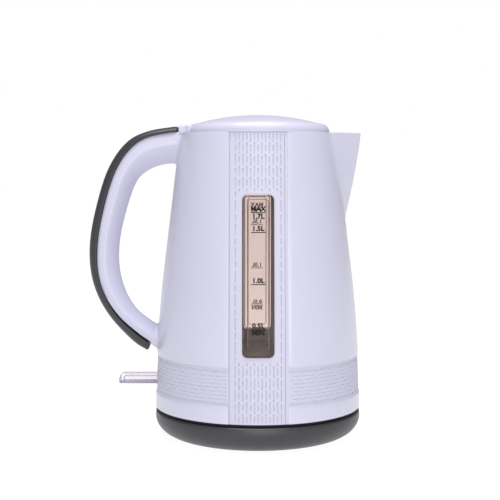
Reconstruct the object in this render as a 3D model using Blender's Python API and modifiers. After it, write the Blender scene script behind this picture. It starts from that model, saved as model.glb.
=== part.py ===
"""Cordless electric kettle on a round power base, modelled in metres, +Z up.

The kettle's own axis is the Z axis and the table top is z = 0. The handle points
to -X and the spout to +X. Every sub-part is its own named object.
"""

import math

import bmesh
import bpy
from mathutils import Matrix, Vector

OBJECT_NAME = "electric_kettle"

# ---------------------------------------------------------------- driving sizes
GAP = 0.0003                    # clearance kept between touching pieces
SEGMENTS = 48                   # facets round the big turned pieces
LID_SEGMENTS = 40               # facets round the collar and the lid
SMALL_SEGMENTS = 24             # facets round the small ones
PLATE_SEGMENTS = 36             # facets round the pieces under the water

# body wall: one large arc upright at the foot, then a straight taper
FOOT_Z = 0.0228
FOOT_R = 0.0789
RIM_Z = 0.2318
WALL_ARC_R = 0.900
WALL_TAPER = math.atan(0.12)
WALL_THICK = 0.0026

# spout
SPOUT_RIM_Z = 0.2327
SPOUT_FOOT_Z = 0.1600
SPOUT_REACH = 0.0805
SPOUT_SLOPE = 0.13
SPOUT_BOW = 0.90
SPOUT_ANGLE = math.radians(27.5)
SPOUT_NOSE_R = 0.0070
SPOUT_WALL = 0.0022

# collar, lid and hinge
LID_SEAM_R = 0.0502
LID_SEAM_Z = 0.2396
LID_TOP_Z = 0.2468
LID_MOUTH_R = 0.0455
LID_REAR_X = -0.0435
LID_SKIN = 0.0018
LID_LOW_Z = 0.2378
LID_SEAT_Z = 0.2374               # the collar's ledge just under the lid's rim
LID_SWING = 0.0016                # trim of the lid's rear corners, clear of the collar
SHOULDER_R = 0.0573
SHOULDER_Z = 0.2326
HINGE_X = -0.0470
HINGE_Z = 0.2362
KNUCKLE_R = 0.0034
HINGE_PIN_R = 0.0012

# release button on the handle's root
BUTTON_X = (-0.0598, -0.0518)
BUTTON_HALF_Y = 0.0108
BUTTON_LOW_Z = 0.2363
BUTTON_TOP_Z = 0.2389
BUTTON_TRAVEL = 0.0020
BRIDGE_TOP_Z = 0.2383
CATCH_Y = (-0.0060, -0.0010)
CATCH_TIP_Z = 0.2292

# handle: stations from the upper root to the lower one, each with its point on
# the finger side, on the seam with the grip and on the grip's back
HANDLE_STATIONS = (
    ((-0.0668, 0.2094), (-0.0619, 0.2336), (-0.0616, 0.2385)),
    ((-0.0780, 0.2073), (-0.0847, 0.2296), (-0.0860, 0.2342)),
    ((-0.0880, 0.2022), (-0.0990, 0.2199), (-0.1026, 0.2250)),
    ((-0.0950, 0.1937), (-0.1103, 0.2020), (-0.1164, 0.2045)),
    ((-0.1017, 0.1745), (-0.1188, 0.1745), (-0.1258, 0.1740)),
    ((-0.1071, 0.1503), (-0.1234, 0.1481), (-0.1303, 0.1475)),
    ((-0.1074, 0.1288), (-0.1231, 0.1252), (-0.1293, 0.1245)),
    ((-0.1026, 0.1105), (-0.1174, 0.1066), (-0.1233, 0.1054)),
    ((-0.0940, 0.0965), (-0.1073, 0.0909), (-0.1125, 0.0882)),
    ((-0.0835, 0.0879), (-0.0931, 0.0777), (-0.0966, 0.0717)),
    ((-0.0774, 0.0840), (-0.0841, 0.0713), (-0.0862, 0.0648)),
)
HANDLE_HALF_Y = 0.0125
HANDLE_FRONT_X = -0.0613
HANDLE_WALL = 0.0026

# water gauges in the two sides
GAUGE_HALF_WIDTH = 0.01125
GAUGE_Z = (0.0704, 0.1857)
GAUGE_CORNER_R = 0.0035

# heating plate and the ledge that it is clamped to
LEDGE_Z = (0.0625, 0.0650)
LEDGE_R = 0.0708
PLATE_Z = 0.0600
PLATE_THICK = 0.0006
PLATE_R = 0.0730

# switch lever
LEVER_PIVOT = (-0.0660, 0.0426)
LEVER_TIP_X = -0.1072
LEVER_PIN_R = 0.0012
LEVER_HALF_Y = 0.0070
LEVER_Z = (0.0390, 0.0461)

# steam tube
STEAM_XY = (-0.0500, 0.0180)
STEAM_R = 0.0040

# power base
BASE_R = 0.0789
BASE_FOOT_R = 0.0600
BASE_LOW_Z = 0.0008
BASE_BEND_Z = 0.0160
BASE_TOP_Z = 0.0222
BASE_WALL = 0.0022
SOCKET_R = 0.0165
SCREW_ANGLES = (98, 218, 338)   # the three screws of each bottom, in degrees

FINISHES = {
    "white_plastic": ((0.80, 0.80, 0.88), 0.32, 0.0, 1.0),
    "grey_plastic": ((0.085, 0.085, 0.092), 0.42, 0.0, 1.0),
    "black_plastic": ((0.020, 0.020, 0.022), 0.45, 0.0, 1.0),
    "tinted_clear": ((0.62, 0.48, 0.42), 0.12, 0.0, 0.6),
    "clear_plastic": ((0.82, 0.82, 0.85), 0.08, 0.0, 0.5),
    "steel": ((0.62, 0.62, 0.63), 0.28, 1.0, 1.0),
    "aluminium": ((0.75, 0.75, 0.76), 0.40, 1.0, 1.0),
    "brass": ((0.78, 0.60, 0.27), 0.30, 1.0, 1.0),
    "silicone": ((0.72, 0.72, 0.72), 0.60, 0.0, 1.0),
    "rubber": ((0.030, 0.030, 0.030), 0.80, 0.0, 1.0),
    "lamp_glass": ((0.85, 0.22, 0.10), 0.15, 0.0, 1.0),
}


# ---------------------------------------------------------------- scene helpers
def clear_scene():
    """Take away whatever the scene holds."""
    for item in list(bpy.data.objects):
        bpy.data.objects.remove(item, do_unlink=True)


def collection(name):
    """A new collection linked under the scene."""
    made = bpy.data.collections.new(name)
    bpy.context.scene.collection.children.link(made)
    return made


def own_material(name, finish):
    """A Principled material for one sub-part."""
    colour, roughness, metallic, alpha = FINISHES[finish]
    material = bpy.data.materials.new(name)
    material.use_nodes = True
    shader = material.node_tree.nodes["Principled BSDF"]
    shader.inputs["Base Color"].default_value = (*colour, 1.0)
    shader.inputs["Roughness"].default_value = roughness
    shader.inputs["Metallic"].default_value = metallic
    shader.inputs["Alpha"].default_value = alpha
    return material


def as_part(item, finish):
    """Put an object with the parts and dress it."""
    PARTS.objects.link(item)
    item.data.materials.clear()
    item.data.materials.append(own_material(item.name, finish))
    return item


def as_cutter(item):
    """Put an object with the cutters, out of the model."""
    CUTTERS.objects.link(item)
    item.hide_render = True
    item.display_type = "WIRE"
    return item


def boolean(target, tool, operation):
    """Add an exact Boolean modifier."""
    modifier = target.modifiers.new(operation.title(), "BOOLEAN")
    modifier.operation = operation
    modifier.solver = "EXACT"
    modifier.object = tool


def cut(target, tool):
    """Take a cutter away from a part."""
    boolean(target, tool, "DIFFERENCE")


def join(target, tool):
    """Melt a tool into a part."""
    boolean(target, tool, "UNION")


def keep_within(target, tool):
    """Keep only what lies inside the tool."""
    boolean(target, tool, "INTERSECT")


def soften(item, width, segments=2, angle=35.0):
    """Round the sharp edges of a part."""
    modifier = item.modifiers.new("Bevel", "BEVEL")
    modifier.width = width
    modifier.segments = segments
    modifier.limit_method = "ANGLE"
    modifier.angle_limit = math.radians(angle)
    weld = item.modifiers.new("Weld", "WELD")
    weld.merge_threshold = 0.00001


def hang_on(items, pivot):
    """Parent pieces to the empty on their joint's axis."""
    bpy.context.view_layer.update()
    for item in items:
        item.parent = pivot
        item.matrix_parent_inverse = pivot.matrix_world.inverted()


def pivot_empty(name, place):
    """An empty on a joint's axis."""
    empty = bpy.data.objects.new(name, None)
    empty.location = place
    empty.empty_display_size = 0.01
    PARTS.objects.link(empty)
    return empty


# ---------------------------------------------------------------- shape helpers
def mesh_object(name, shape):
    """Write a bmesh to a new object with its faces pointing out."""
    bmesh.ops.recalc_face_normals(shape, faces=shape.faces)
    mesh = bpy.data.meshes.new(name)
    shape.to_mesh(mesh)
    shape.free()
    mesh.shade_smooth()
    mesh.set_sharp_from_angle(angle=math.radians(30.0))
    return bpy.data.objects.new(name, mesh)


def box(name, low, high):
    """A box between two corners."""
    shape = bmesh.new()
    bmesh.ops.create_cube(shape, size=1.0)
    size = [b - a for a, b in zip(low, high)]
    middle = [(a + b) / 2 for a, b in zip(low, high)]
    bmesh.ops.scale(shape, vec=size, verts=shape.verts)
    bmesh.ops.translate(shape, vec=middle, verts=shape.verts)
    return mesh_object(name, shape)


def rod(name, start, end, radius, segments=16, tip_radius=None):
    """A round bar between two points."""
    start, end = Vector(start), Vector(end)
    shape = bmesh.new()
    bmesh.ops.create_cone(
        shape,
        cap_ends=True,
        segments=segments,
        radius1=radius,
        radius2=radius if tip_radius is None else tip_radius,
        depth=(end - start).length,
    )
    turn = (end - start).to_track_quat("Z", "Y").to_matrix().to_4x4()
    place = Matrix.Translation((start + end) / 2) @ turn
    bmesh.ops.transform(shape, matrix=place, verts=shape.verts)
    return mesh_object(name, shape)


def turned(name, profile, segments=SEGMENTS, centre=(0.0, 0.0)):
    """A solid of revolution about a vertical axis.

    The profile is a list of (radius, height). It is a closed loop unless both its
    ends lie on the axis, and it is put in the order that turns it outside out.
    """
    area = sum(
        a[0] * b[1] - b[0] * a[1]
        for a, b in zip(profile, profile[1:] + profile[:1])
    )
    points = profile if area < 0 else profile[::-1]
    on_axis = points[0][0] == 0.0 and points[-1][0] == 0.0
    edges = [(i, i + 1) for i in range(len(points) - 1)]
    if not on_axis:
        edges.append((len(points) - 1, 0))
    mesh = bpy.data.meshes.new(name)
    mesh.from_pydata([(r, 0.0, z) for r, z in points], edges, [])
    item = bpy.data.objects.new(name, mesh)
    item.location = (*centre, 0.0)
    screw = item.modifiers.new("Screw", "SCREW")
    screw.steps = segments
    screw.render_steps = segments
    screw.use_merge_vertices = True
    screw.merge_threshold = 0.00001
    screw.use_smooth_shade = True
    return item


def ring(name, inner, outer, low, high, segments=SMALL_SEGMENTS, centre=(0.0, 0.0)):
    """A plain washer or sleeve."""
    corners = [(outer, high), (outer, low), (inner, low), (inner, high)]
    return turned(name, corners, segments, centre)


def disc(name, radius, low, high, segments=SMALL_SEGMENTS, centre=(0.0, 0.0)):
    """A plain disc."""
    corners = [(0.0, high), (radius, high), (radius, low), (0.0, low)]
    return turned(name, corners, segments, centre)


def quarter(start, end, steps, bulge_first=True):
    """Points of a quarter ellipse from start to end, both left out.

    With bulge_first the curve leaves its start along the radius, otherwise along
    the height.
    """
    points = []
    for i in range(1, steps):
        angle = math.pi / 2 * i / steps
        early, late = math.sin(angle), 1 - math.cos(angle)
        along, across = (early, late) if bulge_first else (late, early)
        points.append((
            start[0] + (end[0] - start[0]) * along,
            start[1] + (end[1] - start[1]) * across,
        ))
    return points


def mesh_from_curve(item, flat_ends=False):
    """Turn a curve object into a closed mesh object in world space.

    With flat_ends the triangles of each flat end become one face.
    """
    bpy.context.scene.collection.objects.link(item)
    bpy.context.view_layer.update()
    evaluated = item.evaluated_get(bpy.context.evaluated_depsgraph_get())
    mesh = bpy.data.meshes.new_from_object(evaluated)
    shape = bmesh.new()
    shape.from_mesh(mesh)
    bmesh.ops.remove_doubles(shape, verts=shape.verts, dist=0.000005)
    bmesh.ops.transform(shape, matrix=item.matrix_world, verts=shape.verts)
    if flat_ends:
        bmesh.ops.dissolve_limit(shape, angle_limit=math.radians(0.5), verts=shape.verts,
                                 edges=shape.edges)
    name = item.name
    bpy.data.objects.remove(item, do_unlink=True)
    return mesh_object(name, shape)


def side_plate(name, outline, low_y, high_y, smooth=(), steps=3):
    """A plate cut to an outline seen from the side, points given as (x, z).

    The points whose places are in smooth lie on flowing curves, the others are
    corners.
    """
    curve = bpy.data.curves.new(name, "CURVE")
    curve.dimensions = "2D"
    curve.fill_mode = "BOTH"
    curve.extrude = (high_y - low_y) / 2
    spline = curve.splines.new("BEZIER")
    spline.bezier_points.add(len(outline) - 1)
    for place, (knot, (x, z)) in enumerate(zip(spline.bezier_points, outline)):
        kind = "AUTO" if place in smooth else "VECTOR"
        knot.handle_left_type = kind
        knot.handle_right_type = kind
        knot.co = (x, z, 0.0)
    spline.use_cyclic_u = True
    spline.resolution_u = steps
    item = bpy.data.objects.new(name, curve)
    upright = Matrix.Rotation(math.pi / 2, 4, "X")
    item.matrix_world = Matrix.Translation((0.0, (low_y + high_y) / 2, 0.0)) @ upright
    return mesh_from_curve(item, flat_ends=True)


def wire(name, points, radius, resolution=2):
    """A bent wire or tube along its points."""
    curve = bpy.data.curves.new(name, "CURVE")
    curve.dimensions = "3D"
    curve.bevel_depth = radius
    curve.bevel_resolution = resolution
    curve.use_fill_caps = True
    spline = curve.splines.new("POLY")
    spline.points.add(len(points) - 1)
    for knot, place in zip(spline.points, points):
        knot.co = (*place, 1.0)
    return mesh_from_curve(bpy.data.objects.new(name, curve))


def coil(name, centre, axis, radius, wire_radius, length, turns, per_turn=8):
    """A helical spring whose low end is at centre and which runs along axis."""
    along = Vector(axis).normalized()
    turn = along.to_track_quat("Z", "Y")
    points = []
    for i in range(turns * per_turn + 1):
        angle = 2 * math.pi * i / per_turn
        height = wire_radius + (length - 2 * wire_radius) * i / (turns * per_turn)
        local = Vector((radius * math.cos(angle), radius * math.sin(angle), height))
        points.append(Vector(centre) + turn @ local)
    return wire(name, points, wire_radius, resolution=1)


def machine_screw(name, x, y, low, high, radius=0.0014, head_up=False):
    """A pan-head screw upright at x, y, its head at one end."""
    head_r, head_h = radius * 1.9, radius * 0.8
    if head_up:
        profile = [(0.0, high), (head_r, high), (head_r, high - head_h),
                   (radius, high - head_h), (radius, low), (0.0, low)]
    else:
        profile = [(0.0, high), (radius, high), (radius, low + head_h),
                   (head_r, low + head_h), (head_r, low), (0.0, low)]
    return turned(name, profile, 16, (x, y))


# ---------------------------------------------------------------- body and spout
def body_radius(z):
    """Outer radius of the body wall at a height."""
    bend_z = FOOT_Z + WALL_ARC_R * math.sin(WALL_TAPER)
    if z <= bend_z:
        return FOOT_R - WALL_ARC_R + math.sqrt(WALL_ARC_R ** 2 - (z - FOOT_Z) ** 2)
    bend_r = FOOT_R - WALL_ARC_R * (1 - math.cos(WALL_TAPER))
    return bend_r - (z - bend_z) * math.tan(WALL_TAPER)


def wall_layer(offset, low, high, steps=6):
    """Points on the wall moved out by offset, from high to low."""
    heights = [high + (low - high) * i / steps for i in range(steps + 1)]
    return [(body_radius(z) + offset, z) for z in heights]


def spout_section(z, wall):
    """Half of the spout's plan at a height as (x, y), from nose to inner corner."""
    drop = max(SPOUT_RIM_Z - z, 0.0)
    depth = min(drop / (SPOUT_RIM_Z - SPOUT_FOOT_Z), 1.0)
    reach = SPOUT_REACH - SPOUT_SLOPE * drop - SPOUT_BOW * drop ** 2 - wall
    spread = SPOUT_ANGLE * (1 - depth ** 2) ** 0.8 + math.radians(1.0)
    radius = min(body_radius(z) - 0.0010, reach - 0.0020)
    root = Vector((radius * math.cos(spread), radius * math.sin(spread)))
    root.y -= wall * 1.3 * (1 - depth)
    nose_r = min(SPOUT_NOSE_R - wall * 0.6, root.y * 0.5)
    centre = Vector((reach - nose_r, 0.0))
    toward = root - centre
    lean = math.atan2(toward.y, toward.x) - math.acos(min(nose_r / toward.length, 1.0))
    nose = [
        (centre.x + nose_r * math.cos(lean * i / 4), nose_r * math.sin(lean * i / 4))
        for i in range(5)
    ]
    return nose + [(root.x, root.y), (root.x * 0.72, root.y * 0.72)]


def spout_solid(name, wall, low, high, levels=7):
    """A wedge lofted through the spout's sections."""
    shape = bmesh.new()
    loops = []
    for i in range(levels + 1):
        z = low + (high - low) * i / levels
        half = spout_section(z, wall)
        outline = half + [(x, -y) for x, y in reversed(half[1:])]
        loops.append([shape.verts.new((x, y, z)) for x, y in outline])
    count = len(loops[0])
    for lower, upper in zip(loops, loops[1:]):
        for i in range(count):
            j = (i + 1) % count
            shape.faces.new((lower[i], lower[j], upper[j], upper[i]))
    shape.faces.new(loops[0][::-1])
    shape.faces.new(loops[-1])
    return mesh_object(name, shape)


def handle_outline(side, shift, toward):
    """One run of the handle's stations, each moved towards another run."""
    points = []
    for station in HANDLE_STATIONS:
        start, goal = Vector(station[side]), Vector(station[toward])
        moved = start + (goal - start).normalized() * shift
        points.append((moved.x, moved.y))
    return points


def handle_channel():
    """The white half of the handle as one plate that runs into the wall."""
    finger = handle_outline(0, 0.0, 1)
    seam = handle_outline(1, GAP / 2, 0)
    seam = [(-0.0580, RIM_Z - 0.0008), (HANDLE_FRONT_X, RIM_Z - 0.0008),
            (HANDLE_FRONT_X, seam[0][1])] + seam[1:]
    lower_root = [(-0.0790, 0.0660), (-0.0700, 0.0650), (-0.0700, 0.0810)]
    upper_root = [(-0.0580, 0.2086)]
    outline = seam + lower_root + finger[::-1] + upper_root
    flowing = set(range(3, len(seam) - 1))
    first = len(seam) + len(lower_root)
    flowing |= set(range(first, first + len(finger)))
    plate = side_plate("handle_plate", outline, -HANDLE_HALF_Y, HANDLE_HALF_Y, flowing)
    soften(plate, 0.0030)
    return as_cutter(plate)


def handle_hollow():
    """The hollow inside the handle, open towards the grip."""
    inner = handle_outline(0, HANDLE_WALL, 1)[1:-1]
    outer = handle_outline(1, 0.0020, 2)[1:-1]
    outline = inner + outer[::-1]
    count = len(inner)
    flowing = set(range(1, count - 1)) | set(range(count + 1, 2 * count - 1))
    half = HANDLE_HALF_Y - HANDLE_WALL
    return as_cutter(side_plate("handle_hollow", outline, -half, half, flowing))


def gauge_plate(name, grow, sign):
    """An upright plate with the gauge's rounded outline, grown all round."""
    half = GAUGE_HALF_WIDTH + grow
    low, high = GAUGE_Z[0] - grow, GAUGE_Z[1] + grow
    near, far = sorted((sign * 0.055, sign * 0.095))
    block = box(name, (-half, near, low), (half, far, high))
    shape = bmesh.new()
    shape.from_mesh(block.data)
    upright = [e for e in shape.edges if abs(e.verts[0].co.y - e.verts[1].co.y) > 0.001]
    bmesh.ops.bevel(shape, geom=upright, offset=GAUGE_CORNER_R + grow, segments=4,
                    profile=0.5, affect="EDGES", material=-1)
    bpy.data.objects.remove(block, do_unlink=True)
    return as_cutter(mesh_object(name, shape))


def body_shell():
    """The body moulding: wall, spout and the white channel of the handle."""
    outer = [(0.0, RIM_Z)] + wall_layer(0.0, FOOT_Z, RIM_Z, 7) + [(0.0, FOOT_Z)]
    shell = as_part(turned("body_shell", outer), "white_plastic")
    join(shell, as_cutter(spout_solid("spout_outer", 0.0, SPOUT_FOOT_Z, SPOUT_RIM_Z)))
    join(shell, handle_channel())
    above, below = RIM_Z + 0.010, FOOT_Z - 0.010
    seat_z = RIM_Z + 0.0001
    chamber = [(0.0, above), (0.0602, above), (0.0602, seat_z)]
    chamber += wall_layer(-WALL_THICK, LEDGE_Z[1], seat_z, 5)
    chamber += [(LEDGE_R, LEDGE_Z[1]), (LEDGE_R, LEDGE_Z[0])]
    chamber += wall_layer(-WALL_THICK, below, LEDGE_Z[0], 2) + [(0.0, below)]
    cut(shell, as_cutter(turned("chamber", chamber)))
    inner_spout = spout_solid("spout_inner", SPOUT_WALL, SPOUT_FOOT_Z + 0.014, above, 6)
    cut(shell, as_cutter(inner_spout))
    cut(shell, handle_hollow())
    for side, sign in (("near", -1), ("far", 1)):
        cut(shell, gauge_plate(f"gauge_opening_{side}", GAP, sign))
    slot_low = (-0.0900, -LEVER_HALF_Y - 0.0008, LEVER_Z[0] - 0.0033)
    slot_high = (-0.0700, LEVER_HALF_Y + 0.0008, LEVER_Z[1] + 0.0011)
    cut(shell, as_cutter(box("lever_slot", slot_low, slot_high)))
    return shell


def gauges():
    """The two clear gauge windows and the seals behind them."""
    made = []
    span = (GAUGE_Z[0] - 0.010, GAUGE_Z[1] + 0.010)
    for side, sign in (("near", -1), ("far", 1)):
        layers = wall_layer(0.0002, *span) + wall_layer(-0.0034, *span)[::-1]
        window = as_part(turned(f"gauge_window_{side}", layers), "tinted_clear")
        keep_within(window, gauge_plate(f"gauge_outline_{side}", 0.0, sign))
        layers = wall_layer(-WALL_THICK - GAP, *span) + wall_layer(-0.0042, *span)[::-1]
        seal = as_part(turned(f"gauge_seal_{side}", layers), "silicone")
        keep_within(seal, gauge_plate(f"seal_outline_{side}", 0.0024, sign))
        cut(seal, gauge_plate(f"seal_opening_{side}", GAP, sign))
        made += [window, seal]
    return made


def grip():
    """The dark grip that closes the handle's channel, and its two screws."""
    back = handle_outline(2, 0.0, 1)
    seam = handle_outline(1, GAP / 2, 2)
    outline = back + [(-0.0826, 0.0668)] + seam[::-1]
    flowing = set(range(1, len(back) - 1))
    first = len(back) + 1
    flowing |= set(range(first + 1, first + len(seam) - 1))
    cover = side_plate("grip", outline, -HANDLE_HALF_Y, HANDLE_HALF_Y, flowing)
    soften(cover, 0.0016)
    parts = [as_part(cover, "grey_plastic")]
    for name, station in (("upper", 2), ("lower", 8)):
        inner, seam_point = HANDLE_STATIONS[station][:2]
        start, end = Vector((inner[0], 0.0, inner[1])), Vector((seam_point[0], 0.0, seam_point[1]))
        along = (end - start).normalized()
        foot, head = start + along * (HANDLE_WALL + 0.0010), end - along * 0.0010
        parts.append(as_part(rod(f"grip_screw_{name}", foot, head, 0.0016), "steel"))
    return parts


# ---------------------------------------------------------------- collar and lid
def collar():
    """The shoulder ring that closes the body's top round the lid's mouth."""
    skin = 0.0016
    shoulder_start, shoulder_end = (LID_SEAM_R + 0.0003, LID_SEAM_Z), (SHOULDER_R, SHOULDER_Z)
    profile = [shoulder_start]
    profile += quarter(shoulder_start, shoulder_end, 4) + [shoulder_end]
    profile += [(0.0598, SHOULDER_Z - 0.0001), (0.0598, RIM_Z + GAP), (SHOULDER_R, RIM_Z + GAP)]
    profile += [(SHOULDER_R, 0.2265), (SHOULDER_R - skin, 0.2265), (SHOULDER_R - skin, RIM_Z)]
    profile += [(0.0526, 0.2358), (0.0470, 0.2358), (0.0470, 0.2260)]
    profile += [(LID_MOUTH_R, 0.2260), (LID_MOUTH_R, LID_SEAT_Z), (LID_SEAM_R, LID_SEAT_Z)]
    profile += [(LID_SEAM_R, LID_SEAM_Z)]
    ring_part = as_part(turned("collar", profile, LID_SEGMENTS), "white_plastic")
    for name, far_x, half_y in (("hinge", -0.0540, 0.0205), ("button", -0.0609, 0.0125)):
        bridge = box(f"{name}_bridge", (far_x, -half_y, 0.2323), (-0.0440, half_y, BRIDGE_TOP_Z))
        soften(bridge, 0.0010)
        join(ring_part, as_cutter(bridge))
    pocket_low = (HINGE_X - KNUCKLE_R - 0.0004, -0.0175, HINGE_Z - KNUCKLE_R - 0.0006)
    cut(ring_part, as_cutter(box("hinge_pocket", pocket_low, (-0.0400, 0.0175, 0.2500))))
    well_floor = BUTTON_LOW_Z - BUTTON_TRAVEL - 0.0002
    well_low = (BUTTON_X[0] - GAP, -BUTTON_HALF_Y - GAP, well_floor)
    well_high = (BUTTON_X[1] + GAP, BUTTON_HALF_Y + GAP, 0.2500)
    cut(ring_part, as_cutter(box("button_well", well_low, well_high)))
    bore = rod("hinge_bore", (HINGE_X, -0.0206, HINGE_Z), (HINGE_X, 0.0206, HINGE_Z),
               HINGE_PIN_R + 0.00005)
    cut(ring_part, as_cutter(bore))
    arm_low = (-0.0555, CATCH_Y[0] - 0.0005, 0.2200)
    arm_high = (-0.0430, CATCH_Y[1] + 0.0005, 0.2370)
    cut(ring_part, as_cutter(box("catch_opening", arm_low, arm_high)))
    return ring_part


def lid():
    """The lid: cap, liner, seal, screws and knuckles."""
    rim_r = LID_SEAM_R - GAP
    dome_r = rim_r ** 2 / (2 * (LID_TOP_Z - LID_SEAM_Z))

    def dome(r, lower):
        return (r, LID_TOP_Z - lower - r * r / (2 * dome_r))

    steps = 4
    top = [dome(rim_r * i / steps, 0.0) for i in range(steps + 1)]
    under = [dome((rim_r - LID_SKIN) * i / steps, LID_SKIN) for i in range(steps + 1)]
    profile = top + [(rim_r, LID_LOW_Z), (rim_r - LID_SKIN, LID_LOW_Z)] + under[::-1]
    cap = as_part(turned("lid_cap", profile, LID_SEGMENTS), "white_plastic")
    rear = box("lid_rear_cut", (-0.0600, -0.0600, 0.2000), (LID_REAR_X, 0.0600, 0.2600))
    cut(cap, as_cutter(rear))
    wall_low = (LID_REAR_X, -0.0240, LID_LOW_Z)
    wall_high = (LID_REAR_X + LID_SKIN, 0.0240, 0.2399)
    join(cap, as_cutter(box("lid_rear_wall", wall_low, wall_high)))
    swing = rod("lid_swing", (LID_SWING, 0.0, 0.2300), (LID_SWING, 0.0, 0.2550), rim_r,
                LID_SEGMENTS)
    keep_within(cap, as_cutter(swing))
    for place, (near, far) in (("near", (-0.0170, -0.0105)), ("catch", CATCH_Y),
                               ("far", (0.0105, 0.0170))):
        join(cap, as_cutter(rod(f"knuckle_{place}", (HINGE_X, near, HINGE_Z),
                                (HINGE_X, far, HINGE_Z), KNUCKLE_R, 20)))
        join(cap, as_cutter(box(f"web_{place}", (HINGE_X + 0.0020, near + 0.0001, 0.2379),
                                (-0.0405, far - 0.0001, HINGE_Z + 0.0038))))
    tail_low = (-0.0480, CATCH_Y[0] + 0.0002, CATCH_TIP_Z + 0.0010)
    tail_high = (-0.0460, CATCH_Y[1] - 0.0002, HINGE_Z - 0.0020)
    join(cap, as_cutter(box("catch_tail", tail_low, tail_high)))
    bore = rod("lid_bore", (HINGE_X, -0.0190, HINGE_Z), (HINGE_X, 0.0190, HINGE_Z),
               HINGE_PIN_R + 0.00005)
    cut(cap, as_cutter(bore))
    wall = 0.0016
    liner_r = 0.0435
    liner_low, liner_top = 0.2250, LID_LOW_Z - 0.0002
    groove_r, inner_r = liner_r - 0.0012, liner_r - 2 * wall
    cup = [(0.0, liner_low + wall), (inner_r, liner_low + wall), (inner_r, liner_top),
           (liner_r, liner_top), (liner_r, 0.2320), (groove_r, 0.2320), (groove_r, 0.2300),
           (liner_r, 0.2300), (liner_r, liner_low + 0.0015), (liner_r - 0.0015, liner_low),
           (0.0, liner_low)]
    liner = as_part(turned("lid_liner", cup, LID_SEGMENTS), "white_plastic")
    flat = box("liner_rear_cut", (-0.0600, -0.0600, 0.2000), (-0.0420, 0.0600, 0.2600))
    cut(liner, as_cutter(flat))
    seal = as_part(ring("lid_seal", liner_r - 0.0009, liner_r + 0.0011, 0.2303, 0.2317,
                        LID_SEGMENTS), "silicone")
    parts = [cap, liner, seal]
    for side, sign in (("near", -1), ("far", 1)):
        screw = machine_screw(f"lid_screw_{side}", 0.0, sign * 0.0300, 0.2269, 0.2380)
        parts.append(as_part(screw, "steel"))
    return parts


def hinge_pieces():
    """The hinge pin and the torsion spring that lifts the lid."""
    pin = rod("hinge_pin", (HINGE_X, -0.0203, HINGE_Z), (HINGE_X, 0.0203, HINGE_Z), HINGE_PIN_R)
    spring = coil("lid_spring", (HINGE_X, CATCH_Y[1] + 0.0005, HINGE_Z), (0, 1, 0), 0.0022,
                  0.0004, 0.0090, 6)
    return [as_part(pin, "steel"), as_part(spring, "steel")]


def button():
    """The release button with the catch arm under it, and its spring."""
    low = BUTTON_LOW_Z
    cap = as_part(box("lid_button", (BUTTON_X[0], -BUTTON_HALF_Y, low),
                      (BUTTON_X[1], BUTTON_HALF_Y, BUTTON_TOP_Z)), "white_plastic")
    soften(cap, 0.0005)
    arm_z = 0.0016
    foot = CATCH_TIP_Z - 0.0030
    pieces = (
        ("stem", (-0.0550, -0.0530), (foot, low + 0.0008)),
        ("arm", (-0.0549, -0.0450), (foot + 0.0001, foot + arm_z)),
        ("lip", (-0.0466, -0.0451), (foot + 0.0002, CATCH_TIP_Z)),
    )
    for inset, (name, across, up) in enumerate(pieces):
        trim = 0.0001 * inset
        block = box(f"catch_{name}", (across[0], CATCH_Y[0] + trim, up[0]),
                    (across[1], CATCH_Y[1] - trim, up[1]))
        join(cap, as_cutter(block))
    spring_x = (BUTTON_X[0] + BUTTON_X[1]) / 2 - 0.0020
    seat = rod("button_spring_seat", (spring_x, 0.0, low - 0.0010),
               (spring_x, 0.0, low + 0.0018), 0.0022)
    cut(cap, as_cutter(seat))
    spring = coil("button_spring", (spring_x, 0.0, 0.2342), (0, 0, 1), 0.0015, 0.0002,
                  0.0036, 3)
    return [cap, as_part(spring, "steel")]


# ---------------------------------------------------------------- under the water
def on_circle(radius, degrees):
    """A point on a circle about the kettle's axis."""
    angle = math.radians(degrees)
    return radius * math.cos(angle), radius * math.sin(angle)


def screw_hole(name, x, y, face_z, plate):
    """A cutter for a screw's hole and the sunk seat of its head, seen from below."""
    profile = [(0.0, face_z + plate + 0.0020), (0.0017, face_z + plate + 0.0020),
               (0.0017, face_z + 0.0014), (0.0030, face_z + 0.0014),
               (0.0030, face_z - 0.0005), (0.0, face_z - 0.0005)]
    return as_cutter(turned(name, profile, 16, (x, y)))


def screwed_plate(plate, target, prefix, face_z, thickness, radius, boss_z):
    """Fix a plate to its shell with three screws into bosses on the shell."""
    made = []
    for number, degrees in enumerate(SCREW_ANGLES, start=1):
        x, y = on_circle(radius, degrees)
        cut(plate, screw_hole(f"{prefix}_hole_{number}", x, y, face_z, thickness))
        foot, depth = boss_z[0], boss_z[0] + 0.0100
        boss = rod(f"{prefix}_boss_{number}", (x, y, foot), (x, y, boss_z[1]), 0.0034, 12)
        join(target, as_cutter(boss))
        bore = rod(f"{prefix}_bore_{number}", (x, y, foot - 0.0010), (x, y, depth), 0.0015, 10)
        cut(target, as_cutter(bore))
        screw = machine_screw(f"{prefix}_screw_{number}", x, y, face_z + 0.0002,
                              depth - 0.0010, 0.0013)
        made.append(as_part(screw, "steel"))
    return made


def bottom_cover(shell):
    """The kettle's bottom cover with its screws."""
    low, high, hole = FOOT_Z + GAP, FOOT_Z + GAP + 0.0024, 0.0195
    profile = [(0.0757, high), (0.0757, low), (hole, low), (hole, high + 0.0045),
               (hole + 0.0017, high + 0.0045), (hole + 0.0017, high)]
    cover = as_part(turned("bottom_cover", profile), "grey_plastic")
    boss_z = (high + GAP, LEDGE_Z[0] - 0.0095)
    return [cover] + screwed_plate(cover, shell, "bottom", low, 0.0024, 0.0734, boss_z)


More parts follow.
